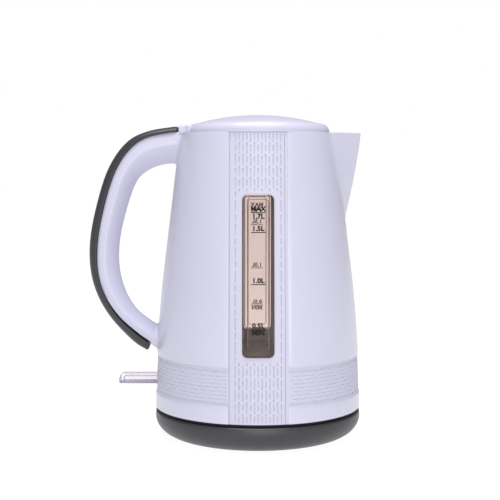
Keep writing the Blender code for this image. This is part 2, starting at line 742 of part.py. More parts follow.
def heating_group():
    """Heating plate, seal, clamp ring, spreader, element and its leads."""
    under = PLATE_Z - PLATE_THICK
    plate = as_part(disc("heating_plate", PLATE_R, under, PLATE_Z, PLATE_SEGMENTS), "steel")
    hole = disc("steam_hole", STEAM_R + GAP, under - 0.001, PLATE_Z + 0.001, 20, STEAM_XY)
    cut(plate, as_cutter(hole))
    groove = (under - GAP, PLATE_Z + GAP)
    profile = [(0.0751, LEDGE_Z[0] - GAP), (0.0751, 0.0570), (0.0705, 0.0570),
               (0.0705, groove[0]), (PLATE_R + GAP, groove[0]), (PLATE_R + GAP, groove[1]),
               (0.0705, groove[1]), (0.0705, LEDGE_Z[0] - GAP)]
    seal = as_part(turned("plate_seal", profile, PLATE_SEGMENTS), "silicone")
    clamp = as_part(ring("plate_clamp_ring", 0.0690, 0.0752, 0.0552, 0.0566, PLATE_SEGMENTS), "steel")
    spreader_z = (under - GAP - 0.0020, under - GAP)
    spreader = as_part(disc("heat_spreader", 0.0440, *spreader_z), "aluminium")
    tube_r, loop_r = 0.0033, 0.0380
    loop_z = spreader_z[0] - GAP - tube_r
    route = [(*on_circle(loop_r, 20), loop_z - 0.0080)]
    route += [(*on_circle(loop_r, 20 + 320 * i / 26), loop_z) for i in range(27)]
    route += [(*on_circle(loop_r, 340), loop_z - 0.0080)]
    element = as_part(wire("heating_element", route, tube_r), "steel")
    made = [plate, seal, clamp, spreader, element]
    for side, degrees in (("near", -20), ("far", 20)):
        outer = (*on_circle(loop_r, degrees), loop_z - 0.0080 - GAP)
        inner = (*on_circle(0.0203, degrees), 0.0420)
        middle = (*on_circle(0.0310, degrees), 0.0400)
        below = (outer[0], outer[1], 0.0425)
        made.append(as_part(wire(f"element_lead_{side}", [outer, below, middle, inner],
                                 0.0012), "brass"))
    return made


def control_group():
    """The control under the plate, its bimetal discs, the lamp and the lever's pin."""
    top = 0.0470
    body = [(0.0, top), (0.0200, top), (0.0200, 0.0364), (0.0, 0.0364)]
    housing = as_part(turned("control_housing", body, SMALL_SEGMENTS), "black_plastic")
    lug = (LEVER_HALF_Y + 0.0010, LEVER_HALF_Y + 0.0036)
    blocks = (
        ("tail", (-0.0580, -0.0080, 0.0370), (-0.0150, 0.0080, 0.0460)),
        ("crossbar", (-0.0590, 0.0001 - lug[1], 0.0384), (-0.0560, lug[1] - 0.0001, 0.0468)),
        ("near_lug", (-0.0690, -lug[1], 0.0385), (-0.0565, -lug[0], 0.0467)),
        ("far_lug", (-0.0690, lug[0], 0.0385), (-0.0565, lug[1], 0.0467)),
        ("steam_shelf", (-0.0555, 0.0070, 0.0400), (-0.0440, 0.0240, 0.0430)),
    )
    for name, low, high in blocks:
        join(housing, as_cutter(box(name, low, high)))
    x, z = LEVER_PIVOT
    bore = rod("lug_bore", (x, -0.0160, z), (x, 0.0160, z), LEVER_PIN_R + 0.00005)
    cut(housing, as_cutter(bore))
    made = [housing]
    for side, sign in (("near", -1), ("far", 1)):
        centre = (0.0, sign * 0.0110)
        join(housing, as_cutter(disc(f"disc_post_{side}", 0.0040, top - 0.001, 0.0555, 16, centre)))
        made.append(as_part(disc(f"bimetal_disc_{side}", 0.0065, 0.0558, 0.0563, 20, centre),
                            "brass"))
    steam_disc = disc("steam_disc", 0.0050, 0.0434, 0.0439, 20, STEAM_XY)
    made.append(as_part(steam_disc, "brass"))
    pin = rod("lever_pin", (x, -lug[1], z), (x, lug[1], z), LEVER_PIN_R)
    made.append(as_part(pin, "steel"))
    lamp = rod("indicator_lamp", (-0.0705, 0.0, 0.0260), (-0.0705, 0.0, 0.0335), 0.0020)
    made.append(as_part(lamp, "lamp_glass"))
    return made


def steam_group():
    """The steam tube in the water chamber and its grommet on the plate."""
    tube = ring("steam_tube", STEAM_R - 0.0008, STEAM_R, 0.0450, 0.2190, 20, STEAM_XY)
    grommet = ring("steam_grommet", STEAM_R + GAP, STEAM_R + 0.0022, PLATE_Z + GAP,
                   PLATE_Z + 0.0020, 20, STEAM_XY)
    return [as_part(tube, "white_plastic"), as_part(grommet, "silicone")]


def filter_group():
    """The spout's limescale filter: frame and mesh."""
    frame = as_part(box("filter_frame", (0.0530, -0.0180, 0.1880), (0.0550, 0.0180, 0.2255)),
                    "white_plastic")
    cut(frame, as_cutter(box("filter_opening", (0.0500, -0.0155, 0.1910),
                             (0.0580, 0.0155, 0.2225))))
    join(frame, as_cutter(box("filter_bar", (0.0543, -0.0008, 0.1900), (0.0549, 0.0008, 0.2235))))
    mesh = box("filter_mesh", (0.0535, -0.0152, 0.1913), (0.0539, 0.0152, 0.2222))
    return [frame, as_part(mesh, "steel")]


def switch_lever():
    """The clear switch lever."""
    lever = box("switch_lever", (LEVER_TIP_X, -LEVER_HALF_Y, LEVER_Z[0]),
                (-0.0620, LEVER_HALF_Y, LEVER_Z[1]))
    soften(lever, 0.0012)
    x, z = LEVER_PIVOT
    bore = rod("lever_bore", (x, -0.0160, z), (x, 0.0160, z), LEVER_PIN_R + 0.00005)
    lever = as_part(lever, "clear_plastic")
    cut(lever, as_cutter(bore))
    return lever


# ---------------------------------------------------------------- power base
def base_curve(offset, steps=6):
    """Points of the base's bowl-shaped side, from its bend down to its foot."""
    points = []
    for i in range(steps + 1):
        angle = math.pi / 2 * i / steps
        r = BASE_FOOT_R + (BASE_R - BASE_FOOT_R) * math.cos(angle)
        z = BASE_BEND_Z - (BASE_BEND_Z - BASE_LOW_Z) * math.sin(angle)
        lean = Vector((math.cos(angle) * (BASE_BEND_Z - BASE_LOW_Z),
                       -math.sin(angle) * (BASE_R - BASE_FOOT_R))).normalized()
        points.append((r - lean.x * offset, z - lean.y * offset))
    return points


def power_base():
    """The round power base: cover, bottom, screws, feet and cord gland."""
    deck_under = BASE_TOP_Z - BASE_WALL
    hole = SOCKET_R + GAP
    profile = [(BASE_R - 0.0012, BASE_TOP_Z), (BASE_R - 0.0001, BASE_TOP_Z - 0.0011)]
    profile += base_curve(0.0) + [(BASE_FOOT_R - 0.0015, BASE_LOW_Z)]
    profile += base_curve(BASE_WALL)[-2::-1]
    profile += [(BASE_R - BASE_WALL, deck_under), (hole, deck_under), (hole, BASE_TOP_Z)]
    cover = as_part(turned("base_cover", profile), "grey_plastic")
    plate_z = (0.0012, 0.0032)
    plate_r = BASE_FOOT_R - 0.0018
    bottom = as_part(disc("base_bottom", plate_r, *plate_z, SEGMENTS), "grey_plastic")
    made = [cover, bottom]
    boss_z = (plate_z[1] + GAP, deck_under + 0.0010)
    made += screwed_plate(bottom, cover, "base", plate_z[0], 0.0020, 0.0420, boss_z)
    for number, degrees in enumerate((30, 150, 270), start=1):
        place = on_circle(0.0500, degrees)
        foot = disc(f"base_foot_{number}", 0.0050, 0.0, plate_z[0] - GAP, 20, place)
        made.append(as_part(foot, "rubber"))
    notch = box("cord_notch", (-0.0053, 0.0500, -0.0020), (0.0053, 0.0900, 0.0093))
    cut(cover, as_cutter(notch))
    gland = box("cord_gland", (-0.0050, 0.0590, 0.0016), (0.0050, 0.0745, 0.0090))
    soften(gland, 0.0010)
    gland = as_part(gland, "rubber")
    seat = rod("cord_seat", (0.0, 0.0715, 0.0053), (0.0, 0.0800, 0.0053), 0.0026)
    cut(gland, as_cutter(seat))
    return made + [gland]


def base_connector():
    """The socket in the base with its contacts."""
    top, flange_z = 0.0285, BASE_TOP_Z - BASE_WALL - 0.0004
    profile = [(0.0, 0.0100), (0.0031, 0.0100), (0.0031, top), (0.0085, top),
               (0.0085, 0.0140), (0.0113, 0.0140), (0.0113, top), (SOCKET_R, top),
               (SOCKET_R, flange_z), (0.0200, flange_z), (0.0200, flange_z - 0.0030),
               (SOCKET_R, flange_z - 0.0030), (SOCKET_R, 0.0060), (0.0, 0.0060)]
    socket = as_part(turned("base_socket", profile, SMALL_SEGMENTS), "black_plastic")
    centre = as_part(disc("socket_centre_contact", 0.0026, 0.0103, 0.0112, 16), "brass")
    outer = as_part(ring("socket_ring_contact", 0.0090, 0.0108, 0.0143, 0.0150), "brass")
    return [socket, centre, outer]


def coupler():
    """The round plug under the kettle, with its pin and its ring."""
    plug = as_part(disc("coupler_plug", 0.0160, 0.0290, 0.0360), "black_plastic")
    pin = as_part(rod("coupler_pin", (0, 0, 0.0125), (0, 0, 0.0287), 0.0020), "brass")
    sleeve = as_part(ring("coupler_ring", 0.0094, 0.0104, 0.0165, 0.0287), "brass")
    return [plug, pin, sleeve]


# ---------------------------------------------------------------- build
clear_scene()
PARTS = collection(OBJECT_NAME)
CUTTERS = collection("cutters")

power_base()
base_connector()
coupler_parts = coupler()
shell = body_shell()
kettle_parts = [shell] + gauges() + grip() + [collar()] + hinge_pieces()
kettle_parts += bottom_cover(shell) + heating_group() + control_group()
kettle_parts += steam_group() + filter_group()
lid_parts = lid()
button_cap, button_spring = button()
lever = switch_lever()

turn_axis = pivot_empty("kettle_turn_axis", (0.0, 0.0, FOOT_Z))
lid_axis = pivot_empty("lid_axis", (HINGE_X, 0.0, HINGE_Z))
lever_axis = pivot_empty("lever_axis", (LEVER_PIVOT[0], 0.0, LEVER_PIVOT[1]))
hang_on(kettle_parts + [button_spring, button_cap, lid_axis, lever_axis], turn_axis)
hang_on(lid_parts, lid_axis)
hang_on([lever], lever_axis)
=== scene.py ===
"""Looks of a cordless electric kettle on its round power base.

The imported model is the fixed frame. The handle points to -X, the spout to +X and the
near gauge to -Y. Lengths are in metres, angles in radians unless a name says degrees.
"""

import logging
import math
from dataclasses import dataclass
from enum import Enum
from typing import Callable, Iterable, Sequence

import bmesh
import bpy
from bmesh.types import BMesh
from mathutils import Matrix, Vector


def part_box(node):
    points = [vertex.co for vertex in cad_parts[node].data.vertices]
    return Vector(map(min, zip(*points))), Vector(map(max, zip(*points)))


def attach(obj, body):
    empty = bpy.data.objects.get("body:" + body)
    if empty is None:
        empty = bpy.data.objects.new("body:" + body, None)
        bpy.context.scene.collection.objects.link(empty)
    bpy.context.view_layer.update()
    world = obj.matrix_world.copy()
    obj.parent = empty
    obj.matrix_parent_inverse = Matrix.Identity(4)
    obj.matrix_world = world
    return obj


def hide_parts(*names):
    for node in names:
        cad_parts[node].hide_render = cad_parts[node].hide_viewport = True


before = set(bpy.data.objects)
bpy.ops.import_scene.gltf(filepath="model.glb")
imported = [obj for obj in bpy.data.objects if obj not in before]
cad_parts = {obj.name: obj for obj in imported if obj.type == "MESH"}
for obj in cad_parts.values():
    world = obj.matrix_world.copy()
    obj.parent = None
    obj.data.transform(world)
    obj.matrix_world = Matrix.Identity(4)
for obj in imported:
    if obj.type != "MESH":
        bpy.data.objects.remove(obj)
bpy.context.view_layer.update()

log = logging.getLogger("kettle")

ROUND = 144                     # facets round the big turned pieces
MERGE = 0.000001                # points closer than this are one
ACROSS = Vector((1, 0, 0))      # level direction along which the gauges are wide

Colour = tuple[float, float, float]
Place = tuple[float, float, float]
Profile = Sequence[tuple[float, float]]


class Rides(Enum):
    """The bodies of the frame that pieces move with."""

    BASE = "power_base"
    COUPLER = "coupler"
    KETTLE = "kettle"
    LID = "lid"
    BUTTON = "lid_button"
    LEVER = "switch_lever"


class Slot(Enum):
    """The record's material slots."""

    WHITE = "white_plastic"
    GREY = "grey_plastic"
    BLACK = "black_plastic"
    TINTED = "tinted_clear"
    CLEAR = "clear_plastic"
    STEEL = "steel"
    ALUMINIUM = "aluminium"
    BRASS = "brass"
    SILICONE = "silicone"
    RUBBER = "rubber"
    LAMP = "lamp_glass"


# ------------------------------------------------------------------ shader wiring
class Wire:
    """One output of a node, which takes part in sums."""

    def __init__(self, tree: "Tree", socket: bpy.types.NodeSocket) -> None:
        """Keep the tree and the socket."""
        self.tree = tree
        self.socket = socket

    def _sum(self, operation: str, first: "Wire | float", second: "Wire | float") -> "Wire":
        """A Math node on two values."""
        return self.tree.node("ShaderNodeMath", {"operation": operation}, {0: first, 1: second})

    def __add__(self, other: "Wire | float") -> "Wire":
        """self + other."""
        return self._sum("ADD", self, other)

    def __radd__(self, other: float) -> "Wire":
        """other + self."""
        return self._sum("ADD", other, self)

    def __sub__(self, other: "Wire | float") -> "Wire":
        """self - other."""
        return self._sum("SUBTRACT", self, other)

    def __rsub__(self, other: float) -> "Wire":
        """other - self."""
        return self._sum("SUBTRACT", other, self)

    def __mul__(self, other: "Wire | float") -> "Wire":
        """self * other."""
        return self._sum("MULTIPLY", self, other)

    def __rmul__(self, other: float) -> "Wire":
        """other * self."""
        return self._sum("MULTIPLY", other, self)


class Tree:
    """The node tree of one material."""

    def __init__(self, name: str) -> None:
        """Start an empty material."""
        self.material = bpy.data.materials.new(name)
        self.material.use_nodes = True
        self.data = self.material.node_tree
        self.data.nodes.clear()

    def node(self, kind: str, settings: dict | None = None, inputs: dict | None = None,
             output: int | str = 0) -> Wire:
        """Add any node.

        Args:
            kind: The node's type.
            settings: Its properties, and under "stops" a ramp's (place, colour) pairs.
            inputs: Values or wires for its sockets.
            output: Which output to hand back.

        Returns:
            The wire from that output.
        """
        made = self.data.nodes.new(kind)
        for key, value in (settings or {}).items():
            if key == "stops":
                self._set_stops(made.color_ramp.elements, value)
            else:
                setattr(made, key, value)
        for key, value in (inputs or {}).items():
            if isinstance(value, Wire):
                self.data.links.new(value.socket, made.inputs[key])
            else:
                made.inputs[key].default_value = value
        return Wire(self, made.outputs[output])

    @staticmethod
    def _set_stops(elements: bpy.types.bpy_prop_collection, stops: Sequence) -> None:
        """Set a ramp's stops in order."""
        for number, (place, shade) in enumerate(stops):
            if number >= len(elements):
                elements.new(place)
            elements[number].position = place
            elements[number].color = (shade, shade, shade, 1.0)

    def noise(self, scale: float, detail: float = 2.0, stretch: Colour = (1.0, 1.0, 1.0)) -> Wire:
        """Noise on the piece's own coordinates, so many waves to the metre."""
        place = self.node("ShaderNodeTexCoord", output="Object")
        place = self.node("ShaderNodeMapping", inputs={"Vector": place, "Scale": stretch})
        return self.node("ShaderNodeTexNoise", inputs={"Vector": place, "Scale": scale,
                                                       "Detail": detail}, output="Fac")

    def ramp(self, value: Wire, stops: Sequence[tuple[float, float]]) -> Wire:
        """Bend a value through a ramp of greys."""
        return self.node("ShaderNodeValToRGB", {"stops": stops}, {"Fac": value})

    def blend(self, share: Wire, low: Colour, high: Colour) -> Wire:
        """Mix two colours."""
        return self.node("ShaderNodeMix", {"data_type": "RGBA"},
                         {0: share, 6: (*low, 1.0), 7: (*high, 1.0)}, output=2)

    def bump(self, height: Wire, depth: float, strength: float = 1.0) -> Wire:
        """A normal tilted by a height."""
        return self.node("ShaderNodeBump", inputs={"Height": height, "Distance": depth,
                                                   "Strength": strength})

    def finish(self, surface: Wire) -> bpy.types.Material:
        """Wire the surface to the output."""
        made = self.data.nodes.new("ShaderNodeOutputMaterial")
        self.data.links.new(surface.socket, made.inputs["Surface"])
        return self.material


# ------------------------------------------------------------------ finishes
@dataclass(frozen=True)
class Finish:
    """What every finish knows: its name and the slot that it stands in."""

    name: str
    slot: Slot

    def material(self) -> bpy.types.Material:
        """The material, made once."""
        return bpy.data.materials.get(self.name) or self.build()

    def build(self) -> bpy.types.Material:
        """Make the material."""
        raise NotImplementedError


@dataclass(frozen=True)
class Moulding(Finish):
    """An opaque moulded plastic or rubber with a fine grain and faint cloudiness."""

    colour: Colour
    cloud: Colour
    roughness: float
    grain: float = 2600.0
    relief: float = 0.00001
    spread: float = 0.05
    coat: float = 0.0
    specular: float = 0.5

    def build(self) -> bpy.types.Material:
        """Make the material."""
        tree = Tree(self.name)
        cloud = tree.ramp(tree.noise(16.0, 3.0), [(0.35, 0.0), (0.70, 1.0)])
        grain = tree.noise(self.grain, 2.0)
        shader = tree.node("ShaderNodeBsdfPrincipled", inputs={
            "Base Color": tree.blend(cloud, self.colour, self.cloud),
            "Roughness": self.roughness + (grain - 0.5) * self.spread + cloud * 0.02,
            "Specular IOR Level": self.specular,
            "Coat Weight": self.coat,
            "Coat Roughness": 0.12,
            "Normal": tree.bump(grain, self.relief, 0.6),
        })
        return tree.finish(shader)


@dataclass(frozen=True)
class BandedMoulding(Moulding):
    """The body's plastic: glossy, and matt on the sunk bands of dashes, whose colour is darkened
    as painted shade.
    """

    half: float = 0.0215
    low: float = 0.0338
    high: float = 0.0630
    matt: float = 0.20
    # share by which the sunk bands' colour is darkened: painted shade of the recessed bands
    shade: float = 0.07

    def build(self) -> bpy.types.Material:
        """Make the material."""
        tree = Tree(self.name)
        place = tree.node("ShaderNodeTexCoord", output="Object")
        parts = tree.node("ShaderNodeSeparateXYZ", inputs={0: place})
        height = Wire(tree, parts.socket.node.outputs["Z"])
        middle, reach = (self.low + self.high) / 2, (self.high - self.low) / 2
        upright = tree.node("ShaderNodeMath", {"operation": "LESS_THAN"},
                            {0: self._size(tree, parts), 1: self.half})
        level = tree.node("ShaderNodeMath", {"operation": "LESS_THAN"},
                          {0: self._size(tree, height - middle), 1: reach})
        band = tree.node("ShaderNodeMath", {"operation": "MAXIMUM"}, {0: upright, 1: level})
        cloud = tree.ramp(tree.noise(16.0, 3.0), [(0.35, 0.0), (0.70, 1.0)])
        grain = tree.noise(self.grain, 2.0)
        # painted shade: the sunk bands take a darker copy of the colour; the cloud's random tone
        # also leans towards it
        painted_band_shade = tuple(part * (1.0 - self.shade) for part in self.colour)
        share = tree.node("ShaderNodeMath", {"operation": "MULTIPLY_ADD", "use_clamp": True},
                          {0: cloud, 1: 0.25, 2: band})
        shader = tree.node("ShaderNodeBsdfPrincipled", inputs={
            "Base Color": tree.blend(share, self.colour, painted_band_shade),
            "Roughness": self.roughness + (grain - 0.5) * self.spread + band * self.matt,
            "Specular IOR Level": self.specular,
            "Coat Weight": (1.0 - band) * self.coat,
            "Coat Roughness": 0.30,
            "Normal": tree.bump(grain, self.relief, 0.6),
        })
        return tree.finish(shader)

    @staticmethod
    def _size(tree: Tree, value: Wire) -> Wire:
        """A value without its sign."""
        return tree.node("ShaderNodeMath", {"operation": "ABSOLUTE"}, {0: value})


@dataclass(frozen=True)
class ClearMoulding(Finish):
    """A clear tinted plastic: what is behind it shows through its tint."""

    tint: Colour
    body: Colour
    solid: float
    roughness: float = 0.08

    def build(self) -> bpy.types.Material:
        """Make the material."""
        tree = Tree(self.name)
        flow = tree.noise(60.0, 2.0, (1.0, 1.0, 0.35))
        through = tree.node("ShaderNodeBsdfTransparent", inputs={"Color": (*self.tint, 1.0)})
        face = tree.node("ShaderNodeBsdfPrincipled", inputs={
            "Base Color": tree.blend(flow, self.body, tuple(0.9 * part for part in self.body)),
            "Roughness": self.roughness + flow * 0.04,
            "Normal": tree.bump(flow, 0.00004, 0.5),
        })
        gloss = tree.node("ShaderNodeFresnel", inputs={"IOR": 1.49})
        share = self.solid + gloss * (1.0 - self.solid)
        mixed = tree.node("ShaderNodeMixShader", inputs={0: share, 1: through, 2: face})
        return tree.finish(mixed)


@dataclass(frozen=True)
class Metal(Finish):
    """A metal with drawn or turned marks."""

    colour: Colour
    cloud: Colour
    roughness: float

    def build(self) -> bpy.types.Material:
        """Make the material."""
        tree = Tree(self.name)
        marks = tree.noise(420.0, 4.0)
        cloud = tree.noise(24.0, 2.0)
        shader = tree.node("ShaderNodeBsdfPrincipled", inputs={
            "Base Color": tree.blend(cloud, self.colour, self.cloud),
            "Roughness": self.roughness + (marks - 0.5) * 0.18,
            "Metallic": 1.0,
            "Normal": tree.bump(marks, 0.00002, 0.4),
        })
        return tree.finish(shader)


LAVENDER, LAVENDER_CLOUD = (0.548, 0.540, 0.674), (0.534, 0.527, 0.660)
WHITE = BandedMoulding("white_moulding", Slot.WHITE, LAVENDER, LAVENDER_CLOUD, 0.34,
                       specular=0.8, coat=0.35)
PLAIN_WHITE = Moulding("plain_white_moulding", Slot.WHITE, LAVENDER, LAVENDER_CLOUD, 0.36,
                       specular=0.6)
INNER_WHITE = Moulding("inner_white_moulding", Slot.WHITE, (0.66, 0.66, 0.72),
                       (0.64, 0.64, 0.70), 0.50)
GREY = Moulding("dark_grey_moulding", Slot.GREY, (0.037, 0.0365, 0.042),
                (0.032, 0.0315, 0.037), 0.39, grain=1900.0, relief=0.00003, specular=0.45)
BLACK = Moulding("black_moulding", Slot.BLACK, (0.006, 0.006, 0.008), (0.004, 0.004, 0.006),
                 0.60, specular=0.2)
INK = Moulding("gauge_ink", Slot.BLACK, (0.010, 0.007, 0.007), (0.007, 0.005, 0.005), 0.65,
               specular=0.2)
PRIMER = Moulding("gauge_primer", Slot.BLACK, (0.80, 0.66, 0.62), (0.76, 0.62, 0.58), 0.65)
# dark clear film behind the windows' edges: painted shade of those edges
PAINTED_EDGE_SHADE = ClearMoulding("painted_edge_shade", Slot.TINTED, (0.80, 0.75, 0.72), (0.24, 0.21, 0.20), 0.25)
TINTED = ClearMoulding("tinted_clear_moulding", Slot.TINTED, (0.940, 0.885, 0.868),
                       (0.45, 0.38, 0.34), 0.03)
CLEAR = ClearMoulding("clear_moulding", Slot.CLEAR, (0.98, 0.965, 0.99), (0.80, 0.77, 0.86),
                      0.08)
STEEL = Metal("stainless_steel", Slot.STEEL, (0.60, 0.60, 0.61), (0.54, 0.54, 0.55), 0.28)
ALUMINIUM = Metal("cast_aluminium", Slot.ALUMINIUM, (0.72, 0.72, 0.73), (0.66, 0.66, 0.67),
                  0.42)
BRASS = Metal("plain_brass", Slot.BRASS, (0.76, 0.58, 0.26), (0.66, 0.49, 0.21), 0.32)
SILICONE = Moulding("grey_silicone", Slot.SILICONE, (0.50, 0.50, 0.50), (0.46, 0.46, 0.46),
                    0.62)
RUBBER = Moulding("matt_rubber", Slot.RUBBER, (0.018, 0.018, 0.018), (0.014, 0.014, 0.014),
                  0.78, relief=0.00005)
LAMP = Moulding("lamp_cap", Slot.LAMP, (0.80, 0.18, 0.07), (0.70, 0.14, 0.05), 0.18, coat=0.4)


# ------------------------------------------------------------------ shape helpers
def laid_grid(columns: int, rows: int, where: Callable[[int, int], Vector]) -> BMesh:
    """A grid of quads whose points are laid one by one.

    Args:
        columns: Number of points across.
        rows: Number of points up.
        where: Gives the place of point (column, row).

    Returns:
        The mesh, its doubles merged and its faces pointing out.
    """
    shape = bmesh.new()
    bmesh.ops.create_grid(shape, x_segments=columns - 1, y_segments=rows - 1, size=1.0)
    for point in shape.verts:
        column = round((point.co.x + 1.0) / 2.0 * (columns - 1))
        row = round((point.co.y + 1.0) / 2.0 * (rows - 1))
        point.co = where(column, row)
    bmesh.ops.remove_doubles(shape, verts=shape.verts, dist=MERGE)
    bmesh.ops.recalc_face_normals(shape, faces=shape.faces)
    return shape


def capped_grid(columns: int, rows: int, where: Callable[[int, int], Vector]) -> BMesh:
    """A laid grid whose open ends are closed."""
    shape = laid_grid(columns, rows, where)
    bmesh.ops.holes_fill(shape, edges=open_edges(shape, anywhere), sides=0)
    bmesh.ops.recalc_face_normals(shape, faces=shape.faces)
    return shape


def turned(profile: Profile, steps: int = ROUND, closed: bool = True) -> BMesh:
    """Turn a profile of (radius, height) about the kettle's axis.

    Args:
        profile: The points in order.
        steps: Facets in the full turn.
        closed: Whether the last point joins the first; a profile that starts and ends
            on the axis stays open.

    Returns:
        The closed solid of revolution.
    """
    shape = bmesh.new()
    points = [shape.verts.new((r, 0.0, z)) for r, z in profile]
    pairs = list(zip(points, points[1:]))
    if closed:
        pairs.append((points[-1], points[0]))
    edges = [shape.edges.new(pair) for pair in pairs]
    bmesh.ops.spin(shape, geom=points + edges, cent=(0, 0, 0), axis=(0, 0, 1),
                   angle=math.tau, steps=steps, use_merge=True)
    bmesh.ops.remove_doubles(shape, verts=shape.verts, dist=MERGE)
    bmesh.ops.recalc_face_normals(shape, faces=shape.faces)
    return shape


def shifted(shape: BMesh, x: float, y: float) -> BMesh:
    """Move a shape sideways."""
    bmesh.ops.translate(shape, vec=(x, y, 0.0), verts=shape.verts)
    return shape


def ease(shape: BMesh, width: float, segments: int = 2, degrees: float = 32.0) -> BMesh:
    """Round every edge that turns sharper than an angle."""
    sharp = [edge for edge in shape.edges
             if edge.is_manifold and edge.calc_face_angle() > math.radians(degrees)]
    bmesh.ops.bevel(shape, geom=sharp, offset=width, segments=segments, profile=0.5,
                    affect="EDGES", material=-1, clamp_overlap=True)
    return shape


def block(low: Sequence[float], high: Sequence[float], rounding: float = 0.0,
          segments: int = 3) -> BMesh:
    """A box between two corners, its edges rounded."""
    shape = bmesh.new()
    bmesh.ops.create_cube(shape, size=1.0)
    low, high = Vector(low), Vector(high)
    bmesh.ops.scale(shape, vec=high - low, verts=shape.verts)
    bmesh.ops.translate(shape, vec=(low + high) / 2, verts=shape.verts)
    if rounding:
        ease(shape, rounding, segments)
    return shape


def rod(start: Sequence[float], end: Sequence[float], radius: float, steps: int = 32) -> BMesh:
    """A round bar between two points."""
    start, end = Vector(start), Vector(end)
    shape = bmesh.new()
    bmesh.ops.create_cone(shape, cap_ends=True, segments=steps, radius1=radius, radius2=radius,
                          depth=(end - start).length)
    turn = (end - start).to_track_quat("Z", "Y").to_matrix().to_4x4()
    place = Matrix.Translation((start + end) / 2) @ turn
    bmesh.ops.transform(shape, matrix=place, verts=shape.verts)
    return shape


def gathered(shapes: Iterable[BMesh]) -> BMesh:
    """Put several shapes in one mesh."""
    whole = bmesh.new()
    for shape in shapes:
        scratch = bpy.data.meshes.new("scratch")
        shape.to_mesh(scratch)
        shape.free()
        whole.from_mesh(scratch)
        bpy.data.meshes.remove(scratch)
    return whole


def loose_object(name: str, shape: BMesh) -> bpy.types.Object:
    """Write a shape to an object, smooth with crisp edges."""
    mesh = bpy.data.meshes.new(name)
    shape.to_mesh(mesh)
    shape.free()
    mesh.shade_smooth()
    mesh.set_sharp_from_angle(angle=math.radians(38.0))
    item = bpy.data.objects.new(name, mesh)
    bpy.context.scene.collection.objects.link(item)
    return item


def combined(shape: BMesh, tools: Sequence[tuple[str, BMesh]]) -> BMesh:
    """Melt or cut shapes into another one after the other.

    Args:
        shape: The solid to work on.
        tools: Pairs of "UNION" or "DIFFERENCE" and the tool's shape.

    Returns:
        The new solid.
    """
    target = loose_object("target", shape)
    helpers = []
    for operation, tool in tools:
        helper = loose_object("tool", tool)
        helpers.append(helper)
        modifier = target.modifiers.new(operation.title(), "BOOLEAN")
        modifier.operation = operation
        modifier.solver = "EXACT"
        modifier.object = helper
    bpy.context.view_layer.update()
    evaluated = target.evaluated_get(bpy.context.evaluated_depsgraph_get())
    result = bmesh.new()
    result.from_mesh(evaluated.to_mesh())
    evaluated.to_mesh_clear()
    for item in [target] + helpers:
        bpy.data.objects.remove(item, do_unlink=True)
    return result


def publish(name: str, shape: BMesh, finish: Finish, rides: Rides,
            stands_for: Sequence[str] = ()) -> bpy.types.Object:
    """Make a shape a finished piece of the kettle.

    Args:
        name: The piece's name.
        shape: Its mesh, in place.
        finish: What it is dressed in.
        rides: The body that it moves with.
        stands_for: The frame's nodes that it is shown instead of.

    Returns:
        The piece.
    """
    item = loose_object(name, shape)
    item.data.materials.append(finish.material())
    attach(item, rides.value)
    if stands_for:
        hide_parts(*stands_for)
    log.info("%s: %d faces in %s", name, len(item.data.polygons), finish.name)
    return item


def rounded_outline(half: float, low: float, high: float, corner: float,
                    steps: int = 6) -> list[Vector]:
    """Points of an upright rounded rectangle, counter-clockwise, as (across, up)."""
    centres = ((half - corner, low + corner, -90.0), (half - corner, high - corner, 0.0),
               (corner - half, high - corner, 90.0), (corner - half, low + corner, 180.0))
    points = []
    for across, up, start in centres:
        for step in range(steps + 1):
            angle = math.radians(start + 90.0 * step / steps)
            points.append(Vector((across + corner * math.cos(angle),
                                  up + corner * math.sin(angle))))
    return points


def score(shape: BMesh, outline: Sequence[Vector], across: Vector,
          side: Callable[[Vector], bool]) -> Callable[[Vector], bool]:
    """Cut edges into a shape along a convex outline seen along a level direction.

    Args:
        shape: The mesh to score.
        outline: The outline's points as (across, up), counter-clockwise.
        across: The level direction that the outline's first number runs along.
        side: Says whether a face's middle is on a wall to be scored.

    Returns:
        A test that says whether a point lies inside the outline.
    """
    margin = 0.003
    lows = [min(p[i] for p in outline) - margin for i in (0, 1)]
    highs = [max(p[i] for p in outline) + margin for i in (0, 1)]

    def flat(place: Vector) -> Vector:
        """A place as (across, up)."""
        return Vector((place.dot(across), place.z))

    def near(place: Vector) -> bool:
        """Whether a place is on the wall and close to the outline."""
        spot = flat(place)
        return side(place) and all(lows[i] < spot[i] < highs[i] for i in (0, 1))

    sides = []
    for start, end in zip(outline, list(outline[1:]) + [outline[0]]):
        if (end - start).length < MERGE:
            continue
        run = (end - start).normalized()
        sides.append((start, Vector((run.y, -run.x))))
        faces = [face for face in shape.faces if near(face.calc_center_median())]
        edges = {edge for face in faces for edge in face.edges}
        points = {point for face in faces for point in face.verts}
        bmesh.ops.bisect_plane(shape, geom=faces + list(edges) + list(points), dist=MERGE,
                               plane_co=across * start.x + Vector((0, 0, start.y)),
                               plane_no=across * run.y + Vector((0, 0, -run.x)))

    def inside(place: Vector) -> bool:
        """Whether a place is on the wall and inside the outline."""
        spot = flat(place)
        return side(place) and all((spot - start).dot(out) < 0.0 for start, out in sides)

    return inside


def anywhere(place: Vector) -> bool:
    """A test that every place passes."""
    return True


def open_edges(shape: BMesh, side: Callable[[Vector], bool]) -> list:
    """The edges with one face whose middle passes a test."""
    return [edge for edge in shape.edges if edge.is_boundary
            and side((edge.verts[0].co + edge.verts[1].co) / 2)]


